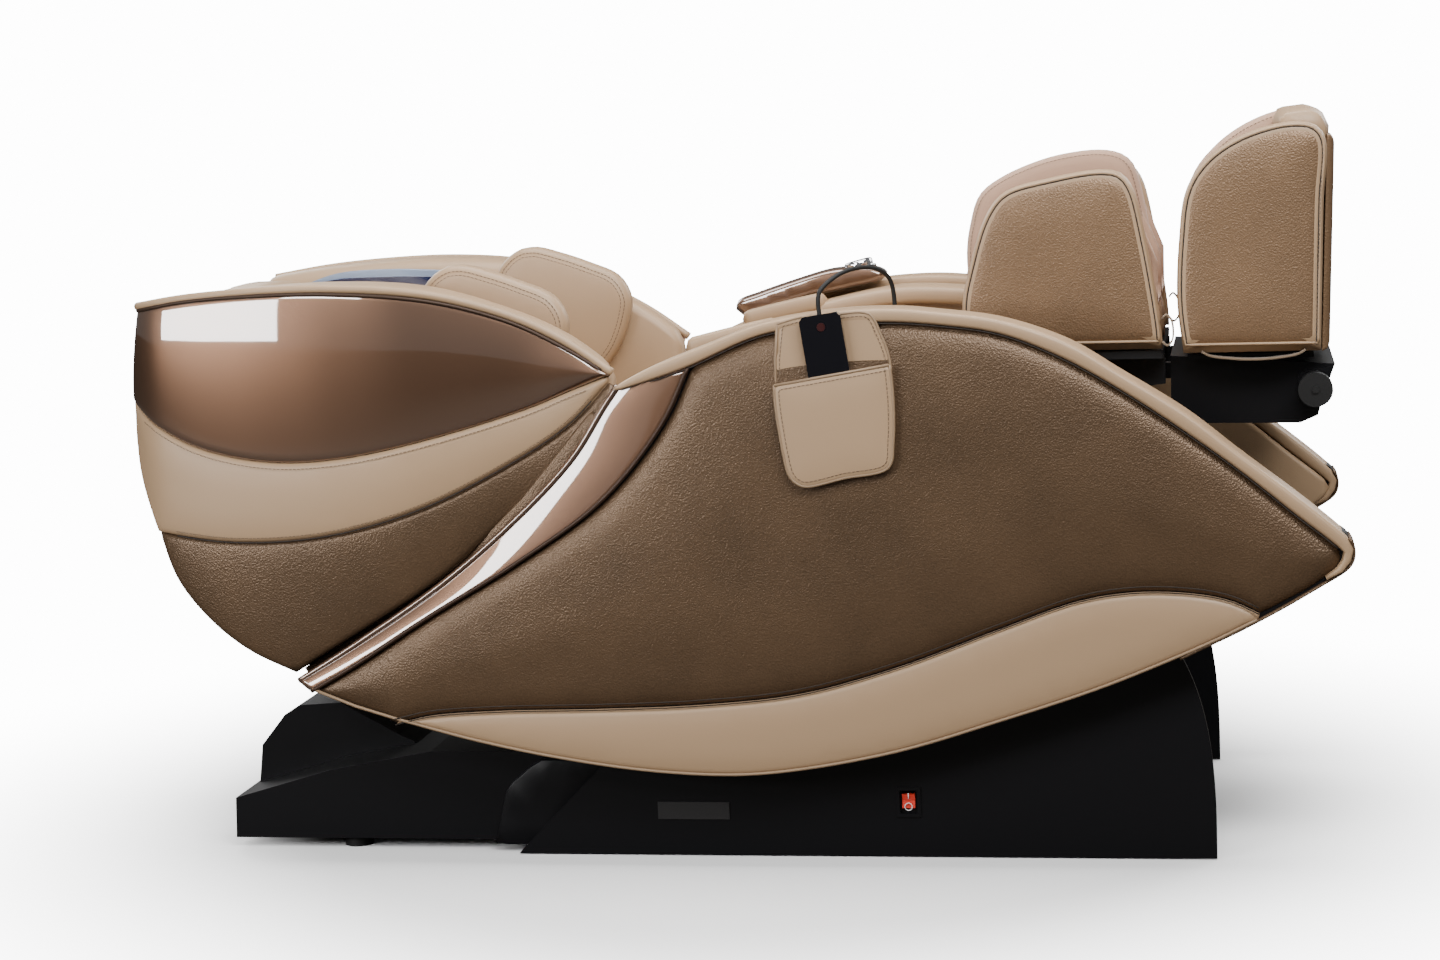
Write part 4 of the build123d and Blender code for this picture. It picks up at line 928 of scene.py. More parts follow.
def make_wings(p):
    """Wing bolsters, lacquered wing panels, pale bands, brown flanks and the back's leather skin."""
    rim = smooth(RIM_HIGH)
    stations = np.linspace(-168, -884, 80)
    rings = []
    for x in stations:
        top = np.interp(x, rim[::-1, 0], rim[::-1, 1])
        low = float(back_line_z(x)) + 1
        out, inn = float(plan_y(x)) - 9.0, 263.0
        near = min(abs(x - stations[0]), abs(x - stations[-1]))
        pull = 12 * (1 - float(round_edge(np.array(near), 22.0)))
        wide = out - inn
        r = max(6.0, min(30.0, wide * 0.42 - pull * 0.5))
        loop = rounded_loop(-out + pull * 0.5, -inn - pull * 0.5, low, top - pull, (4, 4, r, min(r, 16)))
        rings.append([(x, y, z) for y, z in loop])
    shape = loft_shape(rings)
    new_pair("wing_bolsters", shape, "cream", "backrest", "cream_leather", ["back_bolsters"])
    low, high = resample(smooth(WING_LOW), 110), resample(smooth(WING_HIGH), 110)
    shape = ruled_panel(low, high, lambda x: plan_y(x) + 1.0, p.wing_bow / MM, 26, 9.0, 5.0, 5.0)
    new_pair("wing_gloss_panels", shape, "bronze", "backrest", "bronze_gloss", ["wing_panels"])
    shape = panel_shape(band_outline(), lambda x, z: plan_y(x) - 1.0, 297, 9, 7, 15, swell=4, reach=50)
    new_pair("wing_pale_bands", shape, "cream", "backrest", "cream_leather", ["wing_bands"])
    shape = panel_shape(flank_outline(), lambda x, z: plan_y(x) - 4.0 - 16 * ((600 - z) / 320) ** 2,
                        297, 10, 8, 16, swell=3, reach=60)
    new_pair("wing_brown_flanks", shape, "brown", "backrest", "brown_leather", ["back_flanks"])
    hem = [(-306, 541), (-428, 425), (-655, 286), (-640, 268), (-425, 385), (-262, 520), (-172, 640),
           (-196, 668)]
    shape = slab_shape(ring_of(np.array(hem + hem[:1])), -334, -303, edge=3, spacing=24)
    new_pair("back_gussets", shape, "brown", "backrest", "brown_leather")
    path = np.vstack([[on_line(BACK_RISE, 889, 6, True)], [(-905, 730), (-908, 694), (-904, 611), (-864, 489),
                      (-790, 366), (-668, 288), (-530, 268), (-400, 311), (-272, 402)]])
    path = resample(smooth(path), 110)
    ahead = np.gradient(path, axis=0)
    ahead /= np.linalg.norm(ahead, axis=1)[:, None]
    out = np.stack([ahead[:, 1], -ahead[:, 0]], axis=1)
    if (out[30] @ (path[30] - np.array([-500.0, 600.0]))) < 0:
        out = -out
    ys = np.concatenate([np.linspace(-298, -280, 8), np.linspace(-270, 270, 61), np.linspace(280, 298, 8)])
    run = np.linspace(0, length_of(path), len(path))
    swell = 5 * (1 - (ys / 298) ** 4)
    seams = sum(4.0 * np.exp(-((ys - at) / 4.0) ** 2) for at in (-168, 168))
    cross = sum(4.0 * np.exp(-((run - at) / 4.0) ** 2) for at in (300, 640))
    edge = 7 * (1 - round_edge(298 - np.abs(ys), 12.0))
    lift = (swell - seams - edge)[None, :] - cross[:, None]
    front = np.zeros((len(path), len(ys), 3))
    front[:, :, 0] = path[:, None, 0] + out[:, None, 0] * lift
    front[:, :, 1] = ys[None, :]
    front[:, :, 2] = path[:, None, 1] + out[:, None, 1] * lift
    back = front.copy()
    back[:, :, 0] = path[:, None, 0] - out[:, None, 0] * 12
    back[:, :, 2] = path[:, None, 1] - out[:, None, 1] * 12
    new_piece("back_skin", *grid_shape(front, back), "brown", "backrest", "brown_leather", ["back_shell"])
    head = [(q[0], q[1]) for q in (on_line(BACK_RISE, d, h, True) for d, h in
                                   ((100, -6), (100, 3), (884, 3), (884, -6)))]
    deck = slab_shape(ring_of(np.array(head), [head[-1], head[0]], step=30), -290, 290, edge=3, spacing=60)
    new_piece("back_deck", *deck, "brown", "backrest", "brown_leather")
    # The lip along each wing panel's top is bronze painted dark: painted shade on the rolled edge, in place
    # of its highlight.
    lip = at_y(high[2:] - np.array([0.0, 2.5]), lambda x, z: -(plan_y(x) + 2.0))
    seam_tubes("wing_edge_lips", both(lip), 3.2, "backrest", "bronze_gloss", "edge")
    rim_path = (resample(smooth(RIM_HIGH), 110) * 0.5 + high * 0.5)
    shape = tube_shape(at_y(rim_path, lambda x, z: -(plan_y(x) - 3.0)), 6.5, 10)
    new_pair("wing_rim_rolls", shape, "cream", "backrest", "cream_leather")


def make_speakers():
    """A crescent speaker trim on each wing's inner face: silver-blue rim with a dark lens."""
    high = resample(smooth([(-822, 824), (-750, 847), (-662, 852), (-600, 850), (-539, 844), (-497, 826)]),
                    60)
    low = resample(smooth([(-822, 820), (-760, 800), (-662, 792), (-580, 798), (-497, 822)]), 60)
    store = ([], [])
    add_shape(store, *ruled_panel(high, low, lambda x: -251.5 + 0 * x, 0.0, 12, 10.0, 0.0, 0.0))
    verts = [(x, -abs(y) if abs(y) < 400 else y, z) for x, y, z in store[0]]
    new_piece("speaker_rims", *mirrored((verts, store[1])), "silver", "backrest", "silver_trim",
              ["speaker_trims"])
    centre = (high + low) / 2
    shape = ruled_panel(centre + (high - centre) * 0.6, centre + (low - centre) * 0.9,
                                  lambda x: -249.5 + 0 * x, 0.0, 10, 4.0, 0.0, 0.0)
    new_pair("speaker_lenses", shape, "navy", "backrest", "silver_trim")


def well_lining(x_low, x_high, floor, top, y_out, y_in, thick=4.0):
    """A fabric trough: floor and both sides of one leg's channel on the right."""
    xs = np.linspace(x_low, x_high, 36)
    rows_front, rows_back = [], []
    for x in xs:
        z0, z1 = floor(x), top(x)
        r = 26.0
        wall = np.linspace(z1, z0 + r, 12)
        bow = 5 * np.sin(np.pi * (wall - z0) / (z1 - z0))
        arc = np.linspace(0, math.pi / 2, 7)
        ring = [(-(y_out - b), z) for z, b in zip(wall, bow)]
        ring += [(-(y_out - r + r * math.cos(a)), z0 + r - r * math.sin(a)) for a in arc[1:]]
        ring += [(y, z0 + 3 * math.sin(math.pi * (y + y_out) / (y_out - y_in))) for y in
                 np.linspace(-y_out + r, -y_in - r, 9)[1:-1]]
        ring += [(-(y_in + r - r * math.cos(a)), z0 + r - r * math.sin(a)) for a in arc[::-1][:-1]]
        ring += [(-(y_in + b), z) for z, b in zip(wall[::-1], bow[::-1])]
        rows_front.append([(x, y, z) for y, z in ring])
        mid = -(y_out + y_in) / 2
        rows_back.append([(x, y + thick * np.sign(y - mid) * min(1, abs(y - mid) / 40), z - thick)
                          for y, z in ring])
    return grid_shape(np.array(rows_front), np.array(rows_back))


def leg_block(name, node, face, ridge, floor, body, extra=()):
    """Outer walls, centre ridge and floor of a block for both legs, with piped side panels."""
    store = ([], [])
    for low, high in ((-231, -190), (190, 231)):
        add_shape(store, *slab_shape(face, low, high, edge=11, spacing=16, belly=1.0))
    add_shape(store, *slab_shape(floor, -200, 200, edge=6, spacing=22))
    for outline, low, high in extra:
        add_shape(store, *slab_shape(outline, low, high, edge=9, spacing=20))
    block = new_piece(name + "_padding", *store, "cream", body, "cream_leather", [node])
    middle = new_piece(name + "_ridge", *slab_shape(ridge, -24, 24, edge=20, spacing=15, belly=2), "salmon",
                       body, "salmon_fabric")
    inner = inset(face, 6.5)
    panel = resample(np.vstack([inner, inner[:1]]), 110)[:-1]
    store = ([], [])
    add_shape(store, *panel_shape(panel, lambda x, z: 231.5 + 0 * x, 224, 16, 5, 14, swell=4.5, reach=60))
    # The side panels take the brown leather painted lighter: painted light.
    new_piece(name + "_side_panels", *mirrored(store), "fawn", body, "brown_leather")
    rim = inset(face, 4.5)
    seam_tubes(name + "_piping", both(at_y(closed_run(resample(closed_run(rim), 130)[:-1]), -229.5)), 2.3,
               body, "cream_leather", "cream")


def make_calf():
    """The calf block's padding, side panels and linings."""
    floor = ring_of(np.array([(352, 733), (347, 790), (350, 806), (480, 802), (626, 792), (632, 760),
                              (632, 733), (352, 733)]), step=16)
    leg_block("calf", "calf_block", calf_outline(), ring_of(smooth(CALF_RIDGE)), floor, "legrest")
    shape = well_lining(350, 628, lambda x: 813.5 - (x - 300) * 0.045,
                                  lambda x: np.interp(x, [350, 400, 560, 600, 628],
                                                      [850, 935, 965, 930, 860]), 190, 22)
    new_pair("calf_troughs", shape, "salmon", "legrest", "salmon_fabric", ["calf_linings"])


def make_foot():
    """The foot block's padding, sole end, side panels and linings."""
    floor = ring_of(np.array([(666, 726), (663, 768), (760, 768), (852, 766), (858, 726), (666, 726)]),
                    step=16)
    sole = ring_of(np.array([(845, 730), (850, 900), (843, 1026), (806, 1036), (796, 1054), (806, 1073),
                             (846, 1077), (868, 1068), (878, 1046), (870, 942), (862, 730), (845, 730)]),
                   step=10)
    leg_block("foot", "foot_block", foot_outline(), ring_of(smooth(FOOT_RIDGE)), floor, "footrest",
              [(sole, -190, 190)])
    shape = well_lining(664, 842, lambda x: 772.5 + 0 * x,
                                  lambda x: np.interp(x, [664, 700, 800, 842], [900, 985, 1025, 1028]),
                        190, 22)
    new_pair("foot_troughs", shape, "salmon", "footrest", "salmon_fabric", ["foot_linings"])
    ys = np.concatenate([np.linspace(-206, -192, 7), np.linspace(-184, 184, 40), np.linspace(192, 206, 7)])
    zs = np.concatenate([np.linspace(724, 738, 7), np.linspace(746, 1014, 34), np.linspace(1022, 1035, 7)])
    front, back = np.zeros((len(zs), len(ys), 3)), np.zeros((len(zs), len(ys), 3))
    for i, z in enumerate(zs):
        x0 = np.interp(z, [722, 942, 1036], [861.5, 868.5, 871.5])
        for j, y in enumerate(ys):
            edge = min(206 - abs(y), z - 724, 1035 - z)
            rise = 10 * float(round_edge(np.array(edge), 16.0)) + 4 * math.cos(math.pi * y / 412)
            rise -= 3.5 * math.exp(-((edge - 24) / 3.0) ** 2)
            front[i, j] = (x0 + 1.0 + max(0.4, rise), y, z)
            back[i, j] = (x0, y, z)
    # The sole end's cover takes the brown leather painted lighter: painted light.
    new_piece("foot_end_cover", *grid_shape(front, back), "fawn", "footrest", "brown_leather",
              ["foot_back_panel"])


def make_pocket():
    """The handset's sewn pocket: back leaf, front leaf, gusset and bound edge."""
    ring, front = pocket_outline(), pocket_front()
    start = int(np.argmax(np.linalg.norm(np.diff(np.vstack([front, front[:1]]), axis=0), axis=1))) + 1
    front = np.roll(front, -start, axis=0)
    store = ([], [])
    add_shape(store, *panel_shape(ring, lambda x, z: 404.2 + 0 * x, 400.6, 4, 1.2, 13))
    closed = ring_of(front, [front[-1], front[0]], step=7)
    add_shape(store, *panel_shape(closed, lambda x, z: 422.0 + 0 * x, 418.4, 9, 2.5, 12, swell=2.0, reach=40))
    out = np.stack([np.stack([front[:, 0], np.full(len(front), -y), front[:, 1]], axis=1)
                    for y in np.linspace(403.5, 420.5, 5)], axis=1)
    centre = np.array([178.0, 680.0])
    toward = centre - front
    toward /= np.linalg.norm(toward, axis=1)[:, None]
    inside_wall = out.copy()
    inside_wall[:, :, 0] += toward[:, None, 0] * 3.0
    inside_wall[:, :, 2] += toward[:, None, 1] * 3.0
    add_shape(store, *grid_shape(out, inside_wall))
    new_piece("handset_pocket", *store, "cream", "seat", "cream_leather", ["remote_pocket"])
    store = ([], [])
    add_shape(store, *tube_shape(at_y(front, -419.5), 2.2, 8))
    add_shape(store, *tube_shape(at_y(np.array([front[-1], front[0]]), -420.5), 2.2, 8))
    add_shape(store, *tube_shape(at_y(ring, -403.6), 2.0, 8, closed=True))
    new_piece("pocket_binding", *store, "piping", "seat", "cream_leather")


def make_controls():
    """The lacquered control wedge on the left arm and its knurled dial."""
    outline = ring_of(smooth([(-78, 768), (-74, 783), (-40, 796), (20, 815), (78, 831), (104, 834),
                              (130, 835), (156, 834), (174, 824), (168, 812), (110, 798), (46, 784),
                              (-4, 764), (-50, 744)], 8),
                      step=8)
    shape = slab_shape(outline, 272.5, 329.5, edge=9, spacing=11)
    new_piece("control_wedge", *shape, "bronze", "seat", "bronze_gloss", ["control_panel"])
    foot = np.array([128.0, 301.0, 836.0])
    lean = math.radians(14.0)
    axis = np.array([-math.sin(lean), 0, math.cos(lean)])
    side = np.array([math.cos(lean), 0, math.sin(lean)])
    across = np.array([0.0, 1.0, 0.0])
    profile = [(23.6, -5.5), (23.6, -3.8), (23.2, -3.2), (23.6, -2.4), (23.6, 4.8), (22.4, 6.6), (20.5, 7.6),
               (17.5, 8.2), (16.8, 7.2), (15.2, 7.0), (8.0, 7.4), (0.6, 7.6)]
    rings = []
    for k, (r, h) in enumerate(profile):
        knurl = 0.55 if k in (3, 4) else 0.0
        rings.append([foot + axis * h + (r - knurl * (i % 2)) * (math.cos(a) * side + math.sin(a) * across)
                      for i, a in enumerate(np.linspace(0, 2 * math.pi, 96, endpoint=False))])
    new_piece("dial_knob", *loft_shape(rings), "chrome", "dial", "chrome", ["control_dial"])
    collar = [[foot + axis * h + r * (math.cos(a) * side + math.sin(a) * across)
               for a in np.linspace(0, 2 * math.pi, 48, endpoint=False)]
              for r, h in ((27.5, -9), (27.5, -5.2), (26.2, -4.2), (24.6, -4.6), (24.4, -9))]
    new_piece("dial_collar", *loft_shape(collar), "gloss", "seat", "bronze_gloss")


def make_small_parts():
    """Base seals, print on the power rocker, webbing between the leg blocks and under the foot block."""
    store = ([], [])
    seal = ring_of(np.array([(-372, 12), (-352, 100), (-300, 143), (-190, 143), (-300, 12), (-372, 12)]),
                   step=20)
    add_shape(store, *slab_shape(seal, -317, -301, edge=2, spacing=30))
    new_piece("base_seals", *mirrored(store), "plastic", "base", "black_satin_plastic")
    store = ([], [])
    ring = [np.array([257 + 5.5 * math.cos(a), 0, 76.5 + 5.5 * math.sin(a)])
            for a in np.linspace(0, 2 * math.pi, 28, endpoint=False)]
    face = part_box("power_rocker")[0][1] / MM
    ring = [(q[0], face - 0.1, q[2]) for q in ring]
    add_shape(store, *tube_shape(ring, 0.7, 6, closed=True))
    add_shape(store, *tube_shape([(257, face - 0.1, 88), (257, face - 0.1, 92), (257, face - 0.1, 97)], 0.7,
                                 6))
    new_piece("rocker_marks", *store, "white", "switch_rocker", "red_plastic")
    store = ([], [])
    for y in (-230, 218):
        loop = smooth([(634, 744), (641, 738), (648, 745), (650, 760), (647, 776), (640, 783), (634, 777)], 3)
        add_shape(store, *ribbon_shape(loop, y, y + 12, 2.6))
    new_piece("webbing_loops", *store, "ribbon", "legrest", "salmon_fabric")
    store = ([], [])
    strap = smooth([(690, 728), (700, 722), (730, 717), (765, 715), (800, 717), (828, 722), (838, 728)], 6)
    for y in (-226, 200):
        add_shape(store, *ribbon_shape(strap, y, y + 22, 3.0))
    new_piece("foot_straps", *store, "ribbon", "footrest", "salmon_fabric")


def ribbon_shape(path, y_low, y_high, thick):
    """A flat webbing strip along a side-view path."""
    ahead = np.gradient(path, axis=0)
    ahead /= np.linalg.norm(ahead, axis=1)[:, None]
    out = np.stack([-ahead[:, 1], ahead[:, 0]], axis=1)
    ys = np.linspace(y_low, y_high, 5)
    faces = [np.array([[(q[0] + h * n[0], y, q[1] + h * n[1]) for y in ys] for q, n in zip(path, out)])
             for h in (thick / 2, -thick / 2)]
    return grid_shape(*faces)


# ---- sewing ---------------------------------------------------------------------------------------
def stitch_tree():
    """Rods laid along curves at an even pitch."""
    tree = bpy.data.node_groups.new("Stitches along curves", "GeometryNodeTree")
    tree.interface.new_socket("Geometry", in_out="INPUT", socket_type="NodeSocketGeometry")
    for name, value in (("Pitch", 0.006), ("Stitch Length", 0.004), ("Thread Radius", 0.0006)):
        tree.interface.new_socket(name, in_out="INPUT", socket_type="NodeSocketFloat").default_value = value
    tree.interface.new_socket("Thread", in_out="INPUT", socket_type="NodeSocketMaterial")
    tree.interface.new_socket("Geometry", in_out="OUTPUT", socket_type="NodeSocketGeometry")
    n, link = tree.nodes, tree.links.new
    gin, gout = n.new("NodeGroupInput"), n.new("NodeGroupOutput")
    spaced = n.new("GeometryNodeResampleCurve")
    spaced.mode = "LENGTH"
    rod = n.new("GeometryNodeMeshCylinder")
    rod.inputs["Vertices"].default_value = 5
    tangent = n.new("GeometryNodeInputTangent")
    turn = n.new("FunctionNodeAlignRotationToVector")
    turn.axis = "Z"
    place = n.new("GeometryNodeInstanceOnPoints")
    real = n.new("GeometryNodeRealizeInstances")
    paint = n.new("GeometryNodeSetMaterial")
    link(gin.outputs["Geometry"], spaced.inputs["Curve"])
    link(gin.outputs["Pitch"], spaced.inputs["Length"])
    link(gin.outputs["Thread Radius"], rod.inputs["Radius"])
    link(gin.outputs["Stitch Length"], rod.inputs["Depth"])
    link(spaced.outputs["Curve"], place.inputs["Points"])
    link(rod.outputs["Mesh"], place.inputs["Instance"])
    link(tangent.outputs["Tangent"], turn.inputs["Vector"])
    link(turn.outputs["Rotation"], place.inputs["Rotation"])
    link(place.outputs["Instances"], real.inputs["Geometry"])
    link(real.outputs["Geometry"], paint.inputs["Geometry"])
    link(gin.outputs["Thread"], paint.inputs["Material"])
    link(paint.outputs["Geometry"], gout.inputs["Geometry"])
    return tree


def sew(name, runs, body, tree, p):
    """Stitches along runs of 3-D points in millimetres, as one plain mesh on one body."""
    curve = bpy.data.curves.new(name + "_runs", "CURVE")
    curve.dimensions = "3D"
    for run in runs:
        run = np.asarray(run, float) * MM
        line = curve.splines.new("POLY")
        line.points.add(len(run) - 1)
        for point, place in zip(line.points, run):
            point.co = (*place, 1.0)
    source = bpy.data.objects.new(name + "_runs", curve)
    bpy.context.scene.collection.objects.link(source)
    mod = source.modifiers.new("Stitches", "NODES")
    mod.node_group = tree
    values = {"Pitch": p.pitch, "Stitch Length": p.stitch, "Thread Radius": p.thread,
              "Thread": MATERIALS["thread"]}
    for item in tree.interface.items_tree:
        if item.item_type == "SOCKET" and item.in_out == "INPUT" and item.name in values:
            mod[item.identifier] = values[item.name]
    bpy.context.view_layer.update()
    depsgraph = bpy.context.evaluated_depsgraph_get()
    mesh = bpy.data.meshes.new_from_object(source.evaluated_get(depsgraph), depsgraph=depsgraph)
    bpy.data.objects.remove(source)
    mesh.name = name
    if not mesh.materials:
        mesh.materials.append(MATERIALS["thread"])
    piece = bpy.data.objects.new(name, mesh)
    bpy.context.scene.collection.objects.link(piece)
    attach(piece, body)


def both(run):
    """A run and its mirror image."""
    run = np.asarray(run, float)
    return [run, run * np.array([1, -1, 1])]


# Tubes along runs; by default they are painted dark as the shade in a seam's groove.
def seam_tubes(name, runs, radius, body, slot, material="seam"):
    store = ([], [])
    for run in runs:
        add_shape(store, *tube_shape(run, radius, 6))
    new_piece(name, *store, material, body, slot)


def closed_run(outline):
    return np.vstack([outline, outline[:1]])


def make_sewing(p):
    """Seam lines painted dark as the shade in their grooves, and stitches on every sewn cover."""
    tree = stitch_tree()
    top, low = smooth(CRESCENT_TOP), smooth(ARM_BOTTOM)
    up = np.array([0.0, 1.0])
    seams = both(at_y(top, -400.5)) + both(at_y(top + up * 9, -402.5))
    roll = smooth(BAND_LOW)[4:]
    seams += both(at_y(roll - up * 1.0, -401.5))
    # Dark tubes on the crescent's and the edge roll's seams: painted groove shade.
    seam_tubes("arm_seams", seams, 0.9, "seat", "cream_leather")
    piping = both(at_y(np.vstack([low, [(-555, 240), (-620, 266)]]) + up * 2, -399.5))
    seam_tubes("arm_piping", piping, 2.4, "seat", "cream_leather", "piping")
    runs = []
    runs.append(at_y(closed_run(inset(pocket_outline(), 6)), -404.9))
    front = pocket_front()
    start = int(np.argmax(np.linalg.norm(np.diff(closed_run(front), axis=0), axis=1))) + 1
    front = np.roll(front, -start, axis=0)
    line = inset(ring_of(front, [front[-1], front[0]], step=7), 7)
    runs.append(at_y(closed_run(line), -423.0))
    sew("arm_stitches", runs, "seat", tree, p)
    for name, outline, ridge, body in (("calf", calf_outline(), smooth(CALF_RIDGE), "legrest"),
                                       ("foot", foot_outline(), smooth(FOOT_RIDGE), "footrest")):
        edge = resample(closed_run(inset(outline, 6.9)), 140)
        # Dark tubes round the side panels: painted groove shade.
        seam_tubes(name + "_seams", both(at_y(edge, -230.4)), 1.0, body, "cream_leather")
        inner = resample(closed_run(inset(ring_of(ridge), 7)), 120)
        runs = [at_y(inner, -22.5)]
        if name == "foot":
            runs += both(np.array([(852.0, -235.8, z) for z in np.linspace(738, 1018, 60)])
                         + np.array([[(z - 738) * 0.045, 0, 0] for z in np.linspace(738, 1018, 60)]))
        sew(name + "_stitches", runs, body, tree, p)
    band_top, band_low = smooth(WING_LOW)[3:-3], smooth(BAND_BOTTOM)[3:-3]
    # Dark tubes on the band's lower seam: painted groove shade.
    seams = both(at_y(band_low, lambda x, z: -(plan_y(x) - 0.5)))
    seam_tubes("wing_seams", seams, 1.0, "backrest", "cream_leather")
    runs = both(at_y(band_low + up * 7, lambda x, z: -(plan_y(x) + 2.6)))
    runs += both(at_y(band_top - up * 9, lambda x, z: -(plan_y(x) + 2.8)))
    pad = ring_of(smooth(SHOULDER))
    for depth in (9, 15):
        line = closed_run(inset(pad, depth))
        runs += both(at_y(line, -(259.5 - 1.5 * (depth < 12))))
        runs += both(at_y(line, -(218.5 + 1.5 * (depth < 12))))
    rim = smooth(RIM_HIGH)[2:-3]
    runs += both(at_y(rim - up * 3, lambda x, z: -(plan_y(x) - 26)))
    runs += both(at_y(rim - up * 3, lambda x, z: -(plan_y(x) - 36)))
    sew("wing_stitches", runs, "backrest", tree, p)


# ---- CAD pieces that keep their shape ---------------------------------------------------------------
KEPT = {
    "steel": ["base_frame", "slide_carriage", "seat_frame", "back_frame", "calf_frame", "base_tray",
              "control_box", "air_pump", "tilt_motor", "recline_motor"],
    "bright": ["slide_rails", "tilt_pins", "frame_pins", "track_rails"],
    "plastic": ["base_cheeks", "base_rear_deck", "base_hump", "base_front_panel", "foot_housing",
                "switch_bezel", "seat_pan", "side_shells", "massage_carriage", "cord_gland", "power_inlet"],
    "gloss": ["remote_handset"],
    "rubber": ["rubber_feet", "transport_wheels", "foot_wheels"],
    "badge": ["badge_plate"],
    "red": ["power_rocker"],
    "key": ["handset_power_key"],
    "roller": ["kneading_rollers_lower", "kneading_rollers_upper"],
}


def finish_kept_parts():
    """Gives the frame's own parts that stay in view their materials."""
    for material, nodes in KEPT.items():
        for node in nodes:
            piece = NODES[node]
            piece.data.materials.clear()
            piece.data.materials.append(MATERIALS[material])


# ---- the add-on -----------------------------------------------------------------------------------
class ChairFinish(bpy.types.PropertyGroup):
    """Colours of the covers and trims."""
    brown: bpy.props.FloatVectorProperty(name="Brown leather", description="Colour of the brown covers",
                                         subtype="COLOR", size=3, min=0, max=1, default=(0.1, 0.06, 0.032))
    cream: bpy.props.FloatVectorProperty(name="Cream leather", description="Colour of the pale covers",
                                         subtype="COLOR", size=3, min=0, max=1, default=(0.35, 0.232, 0.135))
    bronze: bpy.props.FloatVectorProperty(name="Bronze lacquer", description="Colour of the glossy panels",
                                          subtype="COLOR", size=3, min=0, max=1, default=(0.17, 0.092, 0.055))
    red: bpy.props.FloatVectorProperty(name="Rocker", description="Colour of the power rocker",
                                       subtype="COLOR", size=3, min=0, max=1, default=(0.75, 0.05, 0.03))
    lining: bpy.props.FloatVectorProperty(name="Lining",
                                          description="Colour of the fabric in the leg channels",
                                          subtype="COLOR", size=3, min=0, max=1, default=(0.45, 0.28, 0.19))


class ChairPadding(bpy.types.PropertyGroup):
    """How full the covers stand."""
    arm_swell: bpy.props.FloatProperty(name="Arm swell", description="How far the arm's side panel bows out",
                                       unit="LENGTH", default=0.009, min=0, max=0.012)
    wing_bow: bpy.props.FloatProperty(name="Wing bow", description="How far the glossy wing panel bows out",
                                      unit="LENGTH", default=0.006, min=0, max=0.012)
    crown: bpy.props.FloatProperty(name="Cushion crown",
                                   description="Height of the cushions' middle over their edges",
                                   unit="LENGTH", default=0.010, min=0, max=0.02)
    channel: bpy.props.FloatProperty(name="Channel depth", description="Depth of the sewn channels",
                                     unit="LENGTH", default=0.007, min=0, max=0.012)


class ChairSewing(bpy.types.PropertyGroup):
    """The stitches."""
    pitch: bpy.props.FloatProperty(name="Pitch", description="From one stitch to the next", unit="LENGTH",
                                   default=0.0062, min=0.003, max=0.02)
    stitch: bpy.props.FloatProperty(name="Stitch length", description="Thread seen in one stitch",
                                    unit="LENGTH", default=0.0042, min=0.001, max=0.015)
    thread: bpy.props.FloatProperty(name="Thread radius", description="Half the thread's thickness",
                                    unit="LENGTH", default=0.00055, min=0.0002, max=0.002)


class Chair_OT_finishes(bpy.types.Operator):
    """Makes every material and gives the frame's own parts theirs."""
    bl_idname = "massage_chair.finishes"
    bl_label = "Finishes"

    def execute(self, context):
        make_materials(context.scene.chair_finish)
        finish_kept_parts()
        return {"FINISHED"}


class Chair_OT_stage(bpy.types.Operator):
    """Sets the floor, the soft lights and the camera."""
    bl_idname = "massage_chair.stage"
    bl_label = "Stage"

    def execute(self, context):
        make_camera()
        make_stage()
        return {"FINISHED"}


class Chair_OT_cord(bpy.types.Operator):
    """Lays the handset's cord."""
    bl_idname = "massage_chair.cord"
    bl_label = "Handset cord"

    def execute(self, context):
        make_cord()
        return {"FINISHED"}


class Chair_OT_arms(bpy.types.Operator):
    """Covers the arms: side panels, crescents, liners, edge rolls and glossy strips."""
    bl_idname = "massage_chair.arms"
    bl_label = "Arm covers"

    def execute(self, context):
        make_arm_covers(context.scene.chair_padding)
        make_strips()
        return {"FINISHED"}


class Chair_OT_seat(bpy.types.Operator):
    """Pads the seat and the arm channels."""
    bl_idname = "massage_chair.seat"
    bl_label = "Seat and forearm pads"

    def execute(self, context):
        make_seat(context.scene.chair_padding)
        return {"FINISHED"}


class Chair_OT_back(bpy.types.Operator):
    """Pads the back: cushion, pillow and shoulder pads."""
    bl_idname = "massage_chair.back"
    bl_label = "Back pads"

    def execute(self, context):
        make_back_pads(context.scene.chair_padding)
        return {"FINISHED"}


class Chair_OT_wings(bpy.types.Operator):
    """Covers the wings and the back's shell, and fits the speaker trims."""
    bl_idname = "massage_chair.wings"
    bl_label = "Wings"

    def execute(self, context):
        make_wings(context.scene.chair_padding)
        make_speakers()
        return {"FINISHED"}


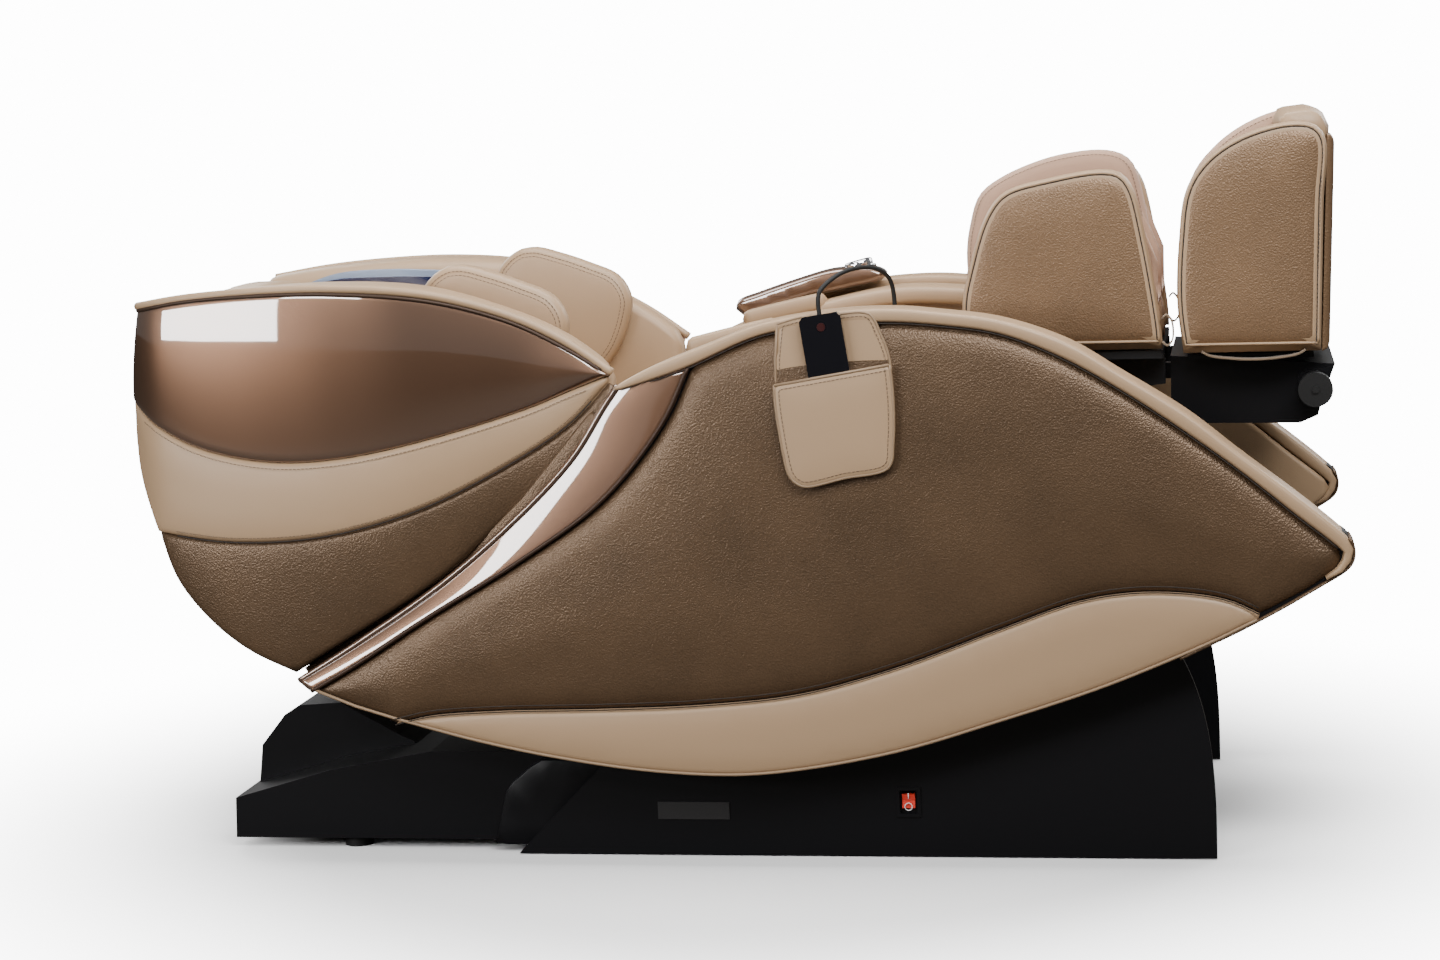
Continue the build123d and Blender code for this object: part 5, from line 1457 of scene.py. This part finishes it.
class Chair_OT_legs(bpy.types.Operator):
    """Pads the calf block and the foot block."""
    bl_idname = "massage_chair.legs"
    bl_label = "Leg rest"

    def execute(self, context):
        make_calf()
        make_foot()
        return {"FINISHED"}


class Chair_OT_controls(bpy.types.Operator):
    """Makes the handset pocket, the control wedge, the dial and the small parts."""
    bl_idname = "massage_chair.controls"
    bl_label = "Pocket and controls"

    def execute(self, context):
        make_pocket()
        make_controls()
        make_small_parts()
        return {"FINISHED"}


class Chair_OT_sewing(bpy.types.Operator):
    """Sews seams, piping and stitches."""
    bl_idname = "massage_chair.sewing"
    bl_label = "Sewing"

    def execute(self, context):
        make_sewing(context.scene.chair_sewing)
        return {"FINISHED"}


OPERATORS = [Chair_OT_finishes, Chair_OT_stage, Chair_OT_cord, Chair_OT_arms, Chair_OT_seat, Chair_OT_back,
             Chair_OT_wings, Chair_OT_legs, Chair_OT_controls, Chair_OT_sewing]
GROUPS = {"chair_finish": ChairFinish, "chair_padding": ChairPadding, "chair_sewing": ChairSewing}


class Chair_PT_panel(bpy.types.Panel):
    """Sizes and colours, and a button for each group of pieces."""
    bl_idname = "CHAIR_PT_panel"
    bl_label = "Massage chair"
    bl_space_type = "VIEW_3D"
    bl_region_type = "UI"
    bl_category = "Massage chair"

    def draw(self, context):
        for name, group in GROUPS.items():
            box = self.layout.box()
            for key in group.__annotations__:
                box.prop(getattr(context.scene, name), key)
        for operator in OPERATORS:
            self.layout.operator(operator.bl_idname)


def register():
    for item in (*GROUPS.values(), *OPERATORS, Chair_PT_panel):
        bpy.utils.register_class(item)
    for name, group in GROUPS.items():
        setattr(bpy.types.Scene, name, bpy.props.PointerProperty(type=group))


def unregister():
    for name in GROUPS:
        delattr(bpy.types.Scene, name)
    for item in reversed((*GROUPS.values(), *OPERATORS, Chair_PT_panel)):
        bpy.utils.unregister_class(item)


def main():
    register()
    for operator in OPERATORS:
        group, name = operator.bl_idname.split(".")
        result = getattr(getattr(bpy.ops, group), name)()
        if result != {"FINISHED"}:
            raise RuntimeError(operator.bl_label + " was not finished")
    bpy.context.view_layer.update()


if __name__ == "__main__":
    main()
